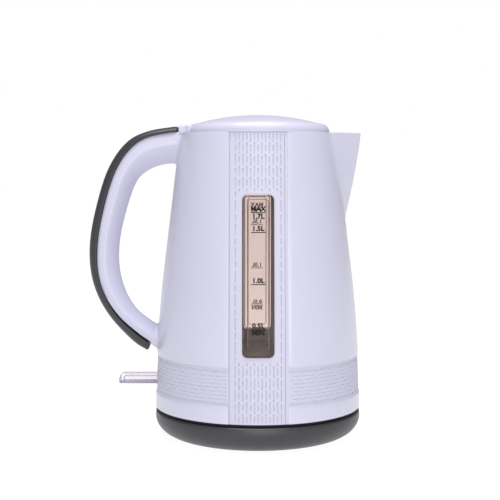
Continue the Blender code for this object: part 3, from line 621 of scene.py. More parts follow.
# ------------------------------------------------------------------ body
@dataclass
class Wall:
    """The body's outer wall: an arc upright at the foot, then a straight taper."""

    foot_z: float = 0.0228
    foot_radius: float = 0.0789
    rim_z: float = 0.2318
    arc_radius: float = 0.900
    taper: float = 0.12
    thickness: float = 0.0026

    def radius(self, z: float) -> float:
        """The wall's outer radius at a height."""
        lean = math.atan(self.taper)
        bend_z = self.foot_z + self.arc_radius * math.sin(lean)
        if z <= bend_z:
            rise = z - self.foot_z
            return self.foot_radius - self.arc_radius + math.sqrt(self.arc_radius ** 2 - rise ** 2)
        bend_radius = self.foot_radius - self.arc_radius * (1 - math.cos(lean))
        return bend_radius - (z - bend_z) * self.taper

    def front(self, x: float, z: float, lift: float = 0.0) -> Vector:
        """The wall's point on the near side at x and z, lifted off it."""
        radius = self.radius(z) + lift
        return Vector((x, -math.sqrt(radius ** 2 - x ** 2), z))


@dataclass
class Spout:
    """The pointed spout, whose plan is a wedge with a round nose at every height."""

    wall: Wall
    rim_z: float = 0.2327
    foot_z: float = 0.1600
    reach: float = 0.0805
    slope: float = 0.13
    bow: float = 0.90
    angle: float = math.radians(27.5)
    nose_radius: float = 0.0070

    def distance(self, angle: float, z: float, inset: float = 0.0) -> float:
        """How far the spout's face is from the axis, or 0 where there is none.

        Args:
            angle: Direction from the axis, 0 along the spout.
            z: Height.
            inset: How far inside the outer face.

        Returns:
            The distance.
        """
        drop = max(self.rim_z - z, 0.0)
        depth = drop / (self.rim_z - self.foot_z)
        turn = abs(math.remainder(angle, math.tau))
        if depth >= 1.0 or turn > math.pi / 2:
            return 0.0
        reach = self.reach - self.slope * drop - self.bow * drop ** 2 - inset
        spread = self.angle * (1 - depth ** 2) ** 0.8 + math.radians(1.0)
        if turn >= spread:
            return 0.0
        radius = min(self.wall.radius(z) - 0.0010, reach - 0.0020)
        root = Vector((radius * math.cos(spread), radius * math.sin(spread)))
        root.y -= inset * 1.3 * (1 - depth)
        nose = min(self.nose_radius - inset * 0.6, root.y * 0.5)
        centre = reach - nose
        toward = root - Vector((centre, 0.0))
        lean = math.atan2(toward.y, toward.x) - math.acos(min(nose / toward.length, 1.0))
        touch = Vector((centre + nose * math.cos(lean), nose * math.sin(lean)))
        if turn <= math.atan2(touch.y, touch.x):
            across = centre * math.sin(turn)
            return centre * math.cos(turn) + math.sqrt(max(nose ** 2 - across ** 2, 0.0))
        run = touch - root
        ray = Vector((math.cos(turn), math.sin(turn)))
        return (root.x * run.y - root.y * run.x) / (ray.x * run.y - ray.y * run.x)


class Zone(Enum):
    """The four stretches of the body's girth."""

    NEAR = 0
    SPOUT = 1
    FAR = 2
    HANDLE = 3


@dataclass(frozen=True)
class Column:
    """An upright line of the body's mesh.

    The place is metres across a gauge's stretch, or the share of the way along the
    stretches between them.
    """

    zone: Zone
    place: float

    def angle(self, radius: float, half: float) -> float:
        """The column's direction from the axis where the wall has a radius."""
        lean = math.asin(half / radius)
        span = math.pi - 2 * lean
        if self.zone is Zone.NEAR:
            return -math.pi / 2 + math.asin(self.place / radius)
        if self.zone is Zone.FAR:
            return math.pi / 2 + math.asin(self.place / radius)
        start = -math.pi / 2 if self.zone is Zone.SPOUT else math.pi / 2
        return start + lean + span * self.place


@dataclass(frozen=True)
class Row:
    """A level line of the body's mesh: its height and how far in from the outer face."""

    z: float
    inset: float
    outer: bool


@dataclass
class Relief:
    """The sunk bands of dashes: one up each gauge side and one round the foot."""

    half: float = 0.0212            # half width of an upright band
    step: float = 0.0003            # width of its steep edge
    bevel: float = 0.0026           # width of the soft slope outside that
    depth: float = 0.0007
    share: float = 0.45             # part of the depth that the soft slope takes
    band_z: tuple[float, float] = (0.0346, 0.0622)
    line_width: float = 0.00095
    pitch_across: float = 0.00275
    columns: int = 13
    period_up: float = 0.0168
    start_up: float = 0.0224
    long_dash: float = 0.49         # shares of a period
    short_dash: tuple[float, float] = (0.612, 0.878)
    pitch_up: float = 0.0027
    rows: int = 9
    periods_round: int = 31
    dash_round: float = 0.79
    groove: float = 0.0006
    level_groove: float = 0.0003
    slope: float = 0.00018          # width of a groove's sloping side
    borders: tuple[float, float] = (-0.0208, 0.0194)
    border_half: float = 0.0003     # half width of an upright border groove
    level_border_half: float = 0.0002
    border_inset: float = 0.0018
    window_margin: float = 0.0024

    def _fall(self, away: float) -> float:
        """Share of the depth at a distance outside a band's edge."""
        if away <= 0.0:
            return 1.0
        if away <= self.step:
            return 1.0 - (1.0 - self.share) * away / self.step
        if away >= self.step + self.bevel:
            return 0.0
        return self.share * (1.0 - (away - self.step) / self.bevel)

    def sunk(self, x: float, z: float) -> float:
        """How far the outer face is sunk at a place."""
        low, high = self.band_z
        upright = self._fall(abs(x) - self.half)
        level = self._fall(max(low - z, z - high))
        return self.depth * max(upright, level)

    def column_places(self) -> list[float]:
        """Places of the columns across an upright band."""
        edge = self.half + self.step
        places = {0.0, -edge, edge, -self.half, self.half}
        for number in range(self.columns):
            middle = (number - (self.columns - 1) / 2) * self.pitch_across
            places |= {middle - self.line_width / 2, middle + self.line_width / 2}
        for border in self.borders:
            places |= {border - self.border_half, border + self.border_half}
        return sorted(places)

    def round_places(self, fine: bool) -> list[float]:
        """Shares of the way along a stretch between the gauges; fine at a spout's nose."""
        places = {0.0, 1.0, 0.012}
        for number in range(self.periods_round):
            for phase in (0.0, self.dash_round, 0.5, (self.dash_round + 0.5) % 1.0):
                places.add((number + phase) / self.periods_round)
        if fine:
            places |= {0.5 + 0.0030 * step for step in range(-9, 10)}
        kept: list[float] = []
        for place in sorted(places):
            if not kept or place - kept[-1] > 0.0008:
                kept.append(place)
        return kept

    def heights(self, foot_z: float, rim_z: float) -> list[float]:
        """Heights of the rows up the outer face."""
        low, high = self.band_z
        places = {low, high, low - self.step, high + self.step}
        places |= {low - self.step - self.bevel, high + self.step + self.bevel}
        for z in (low + self.border_inset, high - self.border_inset):
            places |= {z - self.level_border_half, z + self.level_border_half}
        for z in self._row_middles():
            places |= {z - self.line_width / 2, z + self.line_width / 2}
        ends = (0.0, self.long_dash) + self.short_dash
        cuts = sorted(ends + tuple((end + 0.5) % 1.0 for end in ends))
        count = int((rim_z - self.start_up) / self.period_up) + 1
        places |= {self.start_up + (n + cut) * self.period_up
                   for n in range(count) for cut in cuts}
        kept: list[float] = []
        for z in sorted(places):
            if foot_z + 0.001 < z < rim_z - 0.001 and (not kept or z - kept[-1] > 0.00015):
                kept.append(z)
        return kept

    def _row_middles(self) -> list[float]:
        """Heights of the level rows of dashes."""
        middle = sum(self.band_z) / 2
        return [middle + (n - (self.rows - 1) / 2) * self.pitch_up for n in range(self.rows)]

    def upright_dash(self, x: float, z: float) -> bool:
        """Whether an upright dash covers a place on an upright band."""
        number = round(x / self.pitch_across)
        beside = abs(x - number * self.pitch_across) > self.line_width / 2
        if abs(number) > self.columns // 2 or beside:
            return False
        phase = (z - self.start_up) / self.period_up
        phase = (phase + (0.5 if number % 2 else 0.0)) % 1.0
        low, high = self.short_dash
        return phase < self.long_dash or low < phase < high

    def level_dash(self, share: float, z: float) -> bool:
        """Whether a level dash covers a place on the band round the foot."""
        for number, middle in enumerate(self._row_middles()):
            if abs(z - middle) < self.line_width / 2:
                phase = (share * self.periods_round + (0.5 if number % 2 else 0.0)) % 1.0
                return phase < self.dash_round
        return False


@dataclass
class BodyShell:
    """The white body moulding: patterned wall, spout and the openings in it."""

    wall: Wall
    spout: Spout
    relief: Relief
    rim_round: float = 0.0002
    blend_width: float = 0.0009
    ledge_z: tuple[float, float] = (0.0625, 0.0650)
    ledge_radius: float = 0.0708
    spout_floor_z: float = 0.1740
    spout_inset: float = 0.0022     # thickness of the spout's wall
    gap: float = 0.0003
    clear_ends: float = 0.0020      # plain strip at the foot and the rim
    slot_margin: float = 0.003      # plain strip round the lever's slot
    round_margin: float = 0.006     # plain share at both ends of a level band

    def __post_init__(self) -> None:
        """Read the windows' and the lever's places off the frame."""
        low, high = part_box("gauge_window_near")
        self.window = (high.x, low.z, high.z)
        low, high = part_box("switch_lever")
        self.slot = (high.y + 0.0008, low.z - 0.0033, high.z + 0.0011)

    def _rows(self) -> list[Row]:
        """The rows from the foot up the outer face and down the inner one."""
        foot, rim = self.wall.foot_z, self.wall.rim_z
        soft = self.rim_round
        rows = [Row(foot, soft, True), Row(foot + soft * 0.3, soft * 0.3, True),
                Row(foot + soft, 0.0, True)]
        rows += [Row(z, 0.0, True) for z in self.relief.heights(foot, rim)]
        rows += [Row(rim - soft, 0.0, True), Row(rim - soft * 0.3, soft * 0.3, True),
                 Row(rim, soft, True)]
        thick = self.wall.thickness
        low, high = self.ledge_z
        depths = [rim, rim - 0.004, 0.215, 0.200, 0.188, self.spout_floor_z + 0.0005,
                  self.spout_floor_z, 0.150, 0.120, 0.090, high]
        rows += [Row(z, thick, False) for z in depths]
        rows += [Row(z, self.wall.radius(z) - self.ledge_radius, False) for z in (high, low)]
        rows += [Row(z, thick, False) for z in (low, 0.040, foot)]
        return rows + rows[:1]

    def _columns(self) -> list[Column]:
        """The columns all round, the first one again at the end."""
        across = self.relief.column_places()
        made = [Column(Zone.NEAR, x) for x in across[:-1]]
        made += [Column(Zone.SPOUT, s) for s in self.relief.round_places(True)[:-1]]
        made += [Column(Zone.FAR, x) for x in across[:-1]]
        made += [Column(Zone.HANDLE, s) for s in self.relief.round_places(False)[:-1]]
        return made + made[:1]

    def _blend(self, first: float, second: float) -> float:
        """The larger of two distances, melted where they are close."""
        width = self.blend_width
        share = min(max(0.5 + 0.5 * (first - second) / width, 0.0), 1.0)
        return second + (first - second) * share + width * share * (1 - share)

    def _point(self, column: Column, row: Row) -> Vector:
        """Where a column meets a row."""
        edge = self.relief.half + self.relief.step
        plain = self.wall.radius(row.z)
        angle = column.angle(plain, edge)
        lift = 0.0
        if row.outer:
            radius = plain - self.relief.sunk(plain * math.cos(angle), row.z)
            face = self.spout.distance(angle, row.z)
            if face > 0.0:
                radius = self._blend(face, radius)
            radius -= row.inset
        else:
            radius = plain - row.inset
            if row.z > self.spout_floor_z:
                face = self.spout.distance(angle, row.z, self.spout_inset)
                radius = max(radius, face)
        if row.z > 0.225:
            out = min(max((radius - plain + row.inset) / 0.004, 0.0), 1.0)
            lift = (self.spout.rim_z - self.wall.rim_z) * out
        return Vector((radius * math.cos(angle), radius * math.sin(angle), row.z + lift))

    def _on_wall(self, place: Vector) -> bool:
        """Whether a face's middle is on the plain outer wall."""
        radius = math.hypot(place.x, place.y)
        return abs(radius - self.wall.radius(place.z)) <= 0.0012

    def _is_upright_groove(self, place: Vector) -> bool:
        """Whether a face's middle is in a groove of an upright band."""
        relief = self.relief
        if not self._on_wall(place) or abs(place.x) >= relief.half + relief.step:
            return False
        across = place.x if place.y < 0 else -place.x
        if any(abs(across - border) < relief.border_half for border in relief.borders):
            return True
        half, window_low, window_high = self.window
        margin = relief.window_margin
        beside = abs(place.x) < half + margin
        if beside and window_low - margin < place.z < window_high + margin:
            return False
        low, high = self.wall.foot_z + self.clear_ends, self.wall.rim_z - self.clear_ends
        return low < place.z < high and relief.upright_dash(place.x, place.z)

    def _is_level_groove(self, place: Vector) -> bool:
        """Whether a face's middle is in a groove of the band round the foot."""
        relief = self.relief
        low, high = relief.band_z
        edge = relief.half + relief.step
        if not self._on_wall(place) or abs(place.x) < edge or not low < place.z < high:
            return False
        half_y, slot_low, slot_high = self.slot
        margin = self.slot_margin
        by_slot = place.x < 0 and abs(place.y) < half_y + margin
        if by_slot and slot_low - margin < place.z < slot_high + margin:
            return False
        for border in (low + relief.border_inset, high - relief.border_inset):
            if abs(place.z - border) < relief.level_border_half:
                return True
        lean = math.asin(edge / self.wall.radius(place.z))
        start = -math.pi / 2 if place.x > 0 else math.pi / 2
        turn = (math.atan2(place.y, place.x) - start) % math.tau
        share = (turn - lean) / (math.pi - 2 * lean)
        inside = self.round_margin < share < 1.0 - self.round_margin
        return inside and relief.level_dash(share, place.z)

    def _pierce(self, shape: BMesh) -> None:
        """Open the two windows and the lever's slot, and close their edges."""
        half, low, high = self.window
        grow = self.gap
        outline = rounded_outline(half + grow, low - grow, high + grow, 0.0035 + grow)
        inside = score(shape, outline, ACROSS, lambda p: abs(p.y) > 0.04)
        half_y, low, high = self.slot
        slot = rounded_outline(half_y, low, high, 0.0012, 3)
        in_slot = score(shape, slot, Vector((0, 1, 0)), lambda p: p.x < -0.05)
        gone = [face for face in shape.faces
                if inside(face.calc_center_median()) or in_slot(face.calc_center_median())]
        bmesh.ops.delete(shape, geom=gone, context="FACES")
        for side in (lambda p: p.y < -0.04 and p.x > -0.05, lambda p: p.y > 0.04 and p.x > -0.05,
                     lambda p: p.x < -0.05):
            bmesh.ops.bridge_loops(shape, edges=open_edges(shape, side))

    def build(self) -> None:
        """Make the body."""
        rows, columns = self._rows(), self._columns()
        shape = laid_grid(len(columns), len(rows),
                          lambda i, j: self._point(columns[i], rows[j]))
        relief = self.relief
        upright = [f for f in shape.faces if self._is_upright_groove(f.calc_center_median())]
        level = [f for f in shape.faces if self._is_level_groove(f.calc_center_median())]
        for faces, depth in ((upright, relief.groove), (level, relief.level_groove)):
            bmesh.ops.inset_region(shape, faces=faces, thickness=relief.slope, depth=-depth,
                                   use_boundary=True, use_even_offset=True)
        self._pierce(shape)
        publish("body", shape, WHITE, Rides.KETTLE, ["body_shell"])


# ------------------------------------------------------------------ handle
@dataclass
class Handle:
    """The handle: a white channel on the finger side and a dark grip on its back.

    Each station runs from the finger side over the seam to the grip's back, as (x, z).
    """

    wall: Wall
    stations: tuple = (
        ((-0.0668, 0.2094), (-0.0619, 0.2336), (-0.0616, 0.2385)),
        ((-0.0780, 0.2073), (-0.0847, 0.2296), (-0.0860, 0.2342)),
        ((-0.0880, 0.2022), (-0.0990, 0.2199), (-0.1026, 0.2250)),
        ((-0.0950, 0.1937), (-0.1103, 0.2020), (-0.1164, 0.2045)),
        ((-0.1017, 0.1745), (-0.1188, 0.1745), (-0.1258, 0.1740)),
        ((-0.1071, 0.1503), (-0.1234, 0.1481), (-0.1303, 0.1475)),
        ((-0.1074, 0.1288), (-0.1231, 0.1252), (-0.1293, 0.1245)),
        ((-0.1026, 0.1105), (-0.1174, 0.1066), (-0.1233, 0.1054)),
        ((-0.0940, 0.0965), (-0.1073, 0.0909), (-0.1125, 0.0882)),
        ((-0.0835, 0.0879), (-0.0931, 0.0777), (-0.0966, 0.0717)),
        ((-0.0774, 0.0840), (-0.0841, 0.0713), (-0.0862, 0.0648)),
    )
    upper_root: tuple = ((-0.0570, 0.2088), (-0.0560, 0.2310), (-0.0560, 0.2310))
    lower_root: tuple = ((-0.0700, 0.0820), (-0.0700, 0.0652), (-0.0700, 0.0652))
    lower_turn: tuple = ((-0.0740, 0.0828), (-0.0796, 0.0668), (-0.0796, 0.0668))
    half_y: float = 0.0125
    seam_half_y: float = 0.0113
    crease: float = 0.62            # share of the way from fingers to seam
    seam_gaps: tuple = (0.0003,) * 8 + (0.0004, 0.0010, 0.0014, 0.0014, 0.0014, 0.0014)
    end_reach: float = 0.12         # how far past the last station the grip runs
    per_station: int = 7
    fillet: float = 0.0030
    fillet_top_z: float = 0.2290    # no fillet above this
    upper_round: float = 0.0012     # rounding of the grip's two ends
    lower_round: float = 0.0019
    finger_power: float = 1.35      # squareness of the two halves' sections
    back_power: float = 2.7
    # the black strip in the gap beside the seam, painted shadow: its span from the seam and its
    # inset from the sides
    shade_strip: tuple[float, float] = (-0.0009, 0.0035)
    shade_strip_inset: float = 0.0022

    @staticmethod
    def _flow(points: Sequence[Sequence[float]], place: float) -> Vector:
        """A point on the smooth curve through points, counted from 0."""
        last = len(points) - 1
        start = min(int(place), last - 1)
        share = place - start
        knots = [Vector(points[min(max(start + k, 0), last)]) for k in (-1, 0, 1, 2)]
        if start == 0:
            knots[0] = 2 * knots[1] - knots[2]
        if start + 2 > last:
            knots[3] = 2 * knots[2] - knots[1]
        before, here, there, after = knots
        return 0.5 * (2 * here + (there - before) * share
                      + (2 * before - 5 * here + 4 * there - after) * share ** 2
                      + (3 * here - before - 3 * there + after) * share ** 3)

    def _channel_half(self, share: float) -> float:
        """Half width of the channel at a share of the way from fingers to seam."""
        if share >= self.crease:
            fall = (share - self.crease) / (1.0 - self.crease)
            return self.half_y + (self.seam_half_y - self.half_y) * fall
        rise = 1.0 - share / self.crease
        return self.half_y * (1.0 - rise ** self.finger_power) ** (1 / self.finger_power)

    def _gap_at(self, place: float) -> float:
        """The dark gap beside the seam, counted along the channel's stations."""
        low = min(int(place), len(self.seam_gaps) - 2)
        first, second = self.seam_gaps[low:low + 2]
        return first + (second - first) * (place - low)

    def _flare(self, place: Vector, centre: Vector) -> Vector:
        """Spread a point away from the handle's middle close to the wall."""
        gap = math.hypot(place.x, place.y) - self.wall.radius(min(max(place.z, 0.03), 0.2317))
        if gap >= self.fillet or place.z > self.fillet_top_z:
            return place
        push = (self.fillet - max(gap, -0.001)) ** 2 / (2 * self.fillet)
        away = place - centre
        away.x = 0.0
        if away.length < MERGE:
            return place
        return place + away.normalized() * push

    def _channel(self) -> BMesh:
        """The white half, closed at the seam."""
        stations = (self.upper_root,) + self.stations + (self.lower_turn, self.lower_root)
        fingers = [s[0] for s in stations]
        seams = [s[1] for s in stations]
        shares = [0.0, 0.008, 0.03, 0.08, 0.15, 0.24, 0.34, 0.44, 0.53, 0.59, 0.62, 0.65, 0.80,
                  0.965, 1.0]
        ring = [(share, 1) for share in shares[::-1]] + [(share, -1) for share in shares[1:]]
        ring.append(ring[0])
        count = (len(stations) - 1) * self.per_station + 1

        def where(column: int, row: int) -> Vector:
            """The point of a column of the channel's section at a row."""
            place = row / self.per_station
            finger, seam = self._flow(fingers, place), self._flow(seams, place)
            share, side = ring[column]
            seam_in = seam + (finger - seam).normalized() * self._gap_at(place)
            spot = finger.lerp(seam_in, share)
            half = self._channel_half(share)
            if share == 1.0:
                half -= 0.0005
            centre = finger.lerp(seam, 0.5)
            point = Vector((spot.x, side * half, spot.y))
            return self._flare(point, Vector((centre.x, 0.0, centre.y)))

        return capped_grid(len(ring), count, where)

    def _grip(self) -> BMesh:
        """The dark half, rounded over its back and at both ends."""
        seams = [s[1] for s in self.stations]
        backs = [s[2] for s in self.stations]
        turns = [90.0 * step / 8 for step in range(9)]
        ring = [(t, 1) for t in turns] + [(t, -1) for t in turns[-2::-1]]
        ring.append(ring[0])
        last = len(self.stations) - 1
        ends = [0.0, 0.008, 0.025, 0.05, 0.08, 0.12, 0.17]
        places = ends + [step / self.per_station for step in range(2, last * self.per_station)]
        places += [last + self.end_reach - place for place in ends[::-1]]
        power = 2 / self.back_power

        def turned_in(along: float) -> float:
            """How much of a rounding's radius is gone at a share of its length."""
            return 1.0 - math.sqrt(max(1.0 - (1.0 - min(along, 1.0)) ** 2, 0.0))

        def where(column: int, row: int) -> Vector:
            """The point of a column of the grip's section at a row."""
            place = places[row]
            seam, back = self._flow(seams, place), self._flow(backs, place)
            across = (back - seam).normalized()
            upper = self.upper_round * turned_in(place / ends[-1])
            lower = self.lower_round * turned_in((last + self.end_reach - place) / ends[-1])
            seam, back = seam + across * lower, back - across * (upper + lower)
            angle, side = math.radians(ring[column][0]), ring[column][1]
            spot = seam.lerp(back, math.sin(angle) ** power)
            half = self.half_y - upper - lower
            half *= math.cos(angle) ** power if angle < 1.57 else 0.0
            return Vector((spot.x, side * half, spot.y))

        return capped_grid(len(ring), len(places), where)

    def _core(self) -> BMesh:
        """A black strip in the gap beside the seam: painted shadow of that gap."""
        count = (len(self.stations) - 1) * self.per_station + 1
        fingers = [s[0] for s in self.stations]
        seams = [s[1] for s in self.stations]
        low, high = self.shade_strip
        corners = [(low, 1), (high, 1), (high, -1), (low, -1), (low, 1)]
        half = self.seam_half_y - self.shade_strip_inset

        def where(column: int, row: int) -> Vector:
            """The point of a corner of the tongue's section at a row."""
            place = min(max(row / self.per_station, 0.05), len(self.stations) - 1.08)
            finger, seam = self._flow(fingers, place), self._flow(seams, place)
            spot = seam + (finger - seam).normalized() * corners[column][0]
            return Vector((spot.x, corners[column][1] * half, spot.y))

        return capped_grid(len(corners), count, where)

    def build(self) -> None:
        """Make the channel, the grip, and the black strip that paints the seam gap's shadow."""
        publish("handle_channel", self._channel(), PLAIN_WHITE, Rides.KETTLE)
        # painted shadow in the gap beside the seam
        publish("seam_gap_shade", self._core(), BLACK, Rides.KETTLE)
        publish("handle_grip", self._grip(), GREY, Rides.KETTLE, ["grip"])


# ------------------------------------------------------------------ gauges
@dataclass
class Gauge:
    """A tinted window in the body's side with its water marks."""

    wall: Wall
    side: int                       # -1 near, 1 far
    corner: float = 0.0035
    thickness: float = 0.0032
    panel_half: float = 0.0077
    panel_rise: float = 0.0003
    panel_corner: float = 0.0022
    proud: float = 0.0002           # how far the window stands off the wall
    panel_ends: tuple[float, float] = (0.0040, 0.0034)
    marks: tuple = (("MAX", 0.1742), ("1.7L", 0.1689), ("1.5L", 0.1601), ("1.0L", 0.1232),
                    ("0.5L", 0.0914), ("MIN", 0.0865))
    lines: tuple = (0.1731, 0.1589, 0.1220, 0.0902)
    line_half: float = 0.0052
    line_width: float = 0.0006
    text_height: float = 0.0034
    ink: float = 0.0001
    ring_lift: float = -0.0032
    ring_depth: float = 0.00012
    ring_inset: float = 0.0003
    ring_widths: tuple[float, float] = (0.0009, 0.0005)

    @property
    def label(self) -> str:
        """The side's name."""
        return "near" if self.side < 0 else "far"

    def _turned(self, shape: BMesh) -> BMesh:
        """Turn a shape made on the near side to this gauge's side."""
        if self.side > 0:
            bmesh.ops.rotate(shape, cent=(0, 0, 0), matrix=Matrix.Rotation(math.pi, 3, "Z"),
                             verts=shape.verts)
        return shape

    def _pane(self, half: float, low: float, high: float, corner: float, lift: float) -> BMesh:
        """A rounded upright pane that follows the near wall.

        Args:
            half: Half its width.
            low: Height of its lower edge.
            high: Height of its upper edge.
            corner: Its corners' radius.
            lift: How far it stands off the wall.

        Returns:
            The open pane.
        """
        across, up = 24, 60
        shape = laid_grid(across + 1, up + 1, lambda i, j: self.wall.front(
            half * (2 * i / across - 1), low + (high - low) * j / up, lift))
        inside = score(shape, rounded_outline(half, low, high, corner), ACROSS, anywhere)
        outside = [f for f in shape.faces if not inside(f.calc_center_median())]
        bmesh.ops.delete(shape, geom=outside, context="FACES")
        return shape

    @staticmethod
    def _thicken(shape: BMesh, depth: float) -> BMesh:
        """Give an open pane a thickness towards the kettle's axis, or away from it."""
        skin = bmesh.ops.extrude_face_region(shape, geom=shape.faces[:])
        for point in (part for part in skin["geom"] if isinstance(part, bmesh.types.BMVert)):
            point.co -= Vector((point.co.x, point.co.y, 0.0)).normalized() * depth
        bmesh.ops.recalc_face_normals(shape, faces=shape.faces)
        return shape

    def _window(self) -> BMesh:
        """The window with its raised inner panel."""
        low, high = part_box("gauge_window_near")
        shape = self._pane(high.x, low.z, high.z, self.corner, self.proud)
        panel = rounded_outline(self.panel_half, low.z + self.panel_ends[0],
                                high.z - self.panel_ends[1], self.panel_corner)
        inside = score(shape, panel, ACROSS, anywhere)
        raised = [f for f in shape.faces if inside(f.calc_center_median())]
        if sum((f.normal.y for f in raised), 0.0) > 0:
            bmesh.ops.reverse_faces(shape, faces=shape.faces)
        bmesh.ops.inset_region(shape, faces=raised, thickness=0.0004, depth=self.panel_rise,
                               use_boundary=True, use_even_offset=True)
        return ease(self._thicken(shape, self.thickness), 0.0003, 2, 60.0)

    def _letters(self, words: str, base_z: float, lift: float) -> BMesh:
        """One mark's lettering laid on the wall, lifted off it."""
        curve = bpy.data.curves.new("words", "FONT")
        curve.body = words
        curve.align_x = "CENTER"
        curve.size = self.text_height * 1.40
        curve.offset = self.text_height * 0.070
        curve.space_character = 1.06
        curve.extrude = self.ink
        curve.resolution_u = 4
        item = bpy.data.objects.new("words", curve)
        bpy.context.scene.collection.objects.link(item)
        bpy.context.view_layer.update()
        evaluated = item.evaluated_get(bpy.context.evaluated_depsgraph_get())
        shape = bmesh.new()
        shape.from_mesh(evaluated.to_mesh())
        evaluated.to_mesh_clear()
        bpy.data.objects.remove(item, do_unlink=True)
        bmesh.ops.remove_doubles(shape, verts=shape.verts, dist=MERGE)
        for point in shape.verts:
            x, z = point.co.x, base_z + point.co.y
            point.co = self.wall.front(x, z, lift + point.co.z)
        bmesh.ops.recalc_face_normals(shape, faces=shape.faces)
        return shape

    def _line(self, z: float, lift: float) -> BMesh:
        """One level line laid on the wall, lifted off it."""
        shape = block((-self.line_half, -self.ink, z - self.line_width / 2),
                      (self.line_half, self.ink, z + self.line_width / 2))
        bmesh.ops.subdivide_edges(shape, edges=[e for e in shape.edges if abs(
            e.verts[0].co.x - e.verts[1].co.x) > self.line_half], cuts=5)
        for point in shape.verts:
            point.co = self.wall.front(point.co.x, point.co.z, lift - point.co.y)
        return shape

    def build(self) -> None:
        """Make the window and its marks."""
        publish(f"window_{self.label}", self._turned(self._window()), TINTED, Rides.KETTLE,
                [f"gauge_window_{self.label}"])
        face = self.proud + self.panel_rise
        publish(f"marks_{self.label}", self._printed(face + self.ink), INK, Rides.KETTLE)
        publish(f"primer_{self.label}", self._printed(face - self.ink * 1.5), PRIMER,
                Rides.KETTLE)
        # painted shade along the window's edges and its panel's edges
        publish(f"rings_{self.label}", self._rings(), PAINTED_EDGE_SHADE, Rides.KETTLE)

    def _printed(self, lift: float) -> BMesh:
        """All the marks at a height off the wall, on this gauge's side."""
        words = [self._letters(text, z, lift) for text, z in self.marks]
        return self._turned(gathered(words + [self._line(z, lift) for z in self.lines]))

    def _ring(self, half: float, low: float, high: float, corner: float, width: float) -> BMesh:
        """A thin rounded frame behind the window.

        Args:
            half: Half its outer width.
            low: Height of its lower edge.
            high: Height of its upper edge.
            corner: Its outer corners' radius.
            width: Width of its four bars.

        Returns:
            The frame's shape on the near side.
        """
        shape = self._pane(half, low, high, corner, self.ring_lift)
        hole = rounded_outline(half - width, low + width, high - width, corner - width)
        inside = score(shape, hole, ACROSS, anywhere)
        gone = [f for f in shape.faces if inside(f.calc_center_median())]
        bmesh.ops.delete(shape, geom=gone, context="FACES")
        return self._thicken(shape, -self.ring_depth)

    def _rings(self) -> BMesh:
        """Dark clear frames behind the window's edge and behind its inner panel's edge: painted
        shade along these edges.
        """
        low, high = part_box("gauge_window_near")
        inset = self.ring_inset
        wide, narrow = self.ring_widths
        outer = self._ring(high.x - inset, low.z + inset, high.z - inset, self.corner, wide)
        inner = self._ring(self.panel_half + inset, low.z + self.panel_ends[0] - inset,
                           high.z - self.panel_ends[1] + inset,
                           self.panel_corner + inset, narrow)
        return self._turned(gathered([outer, inner]))


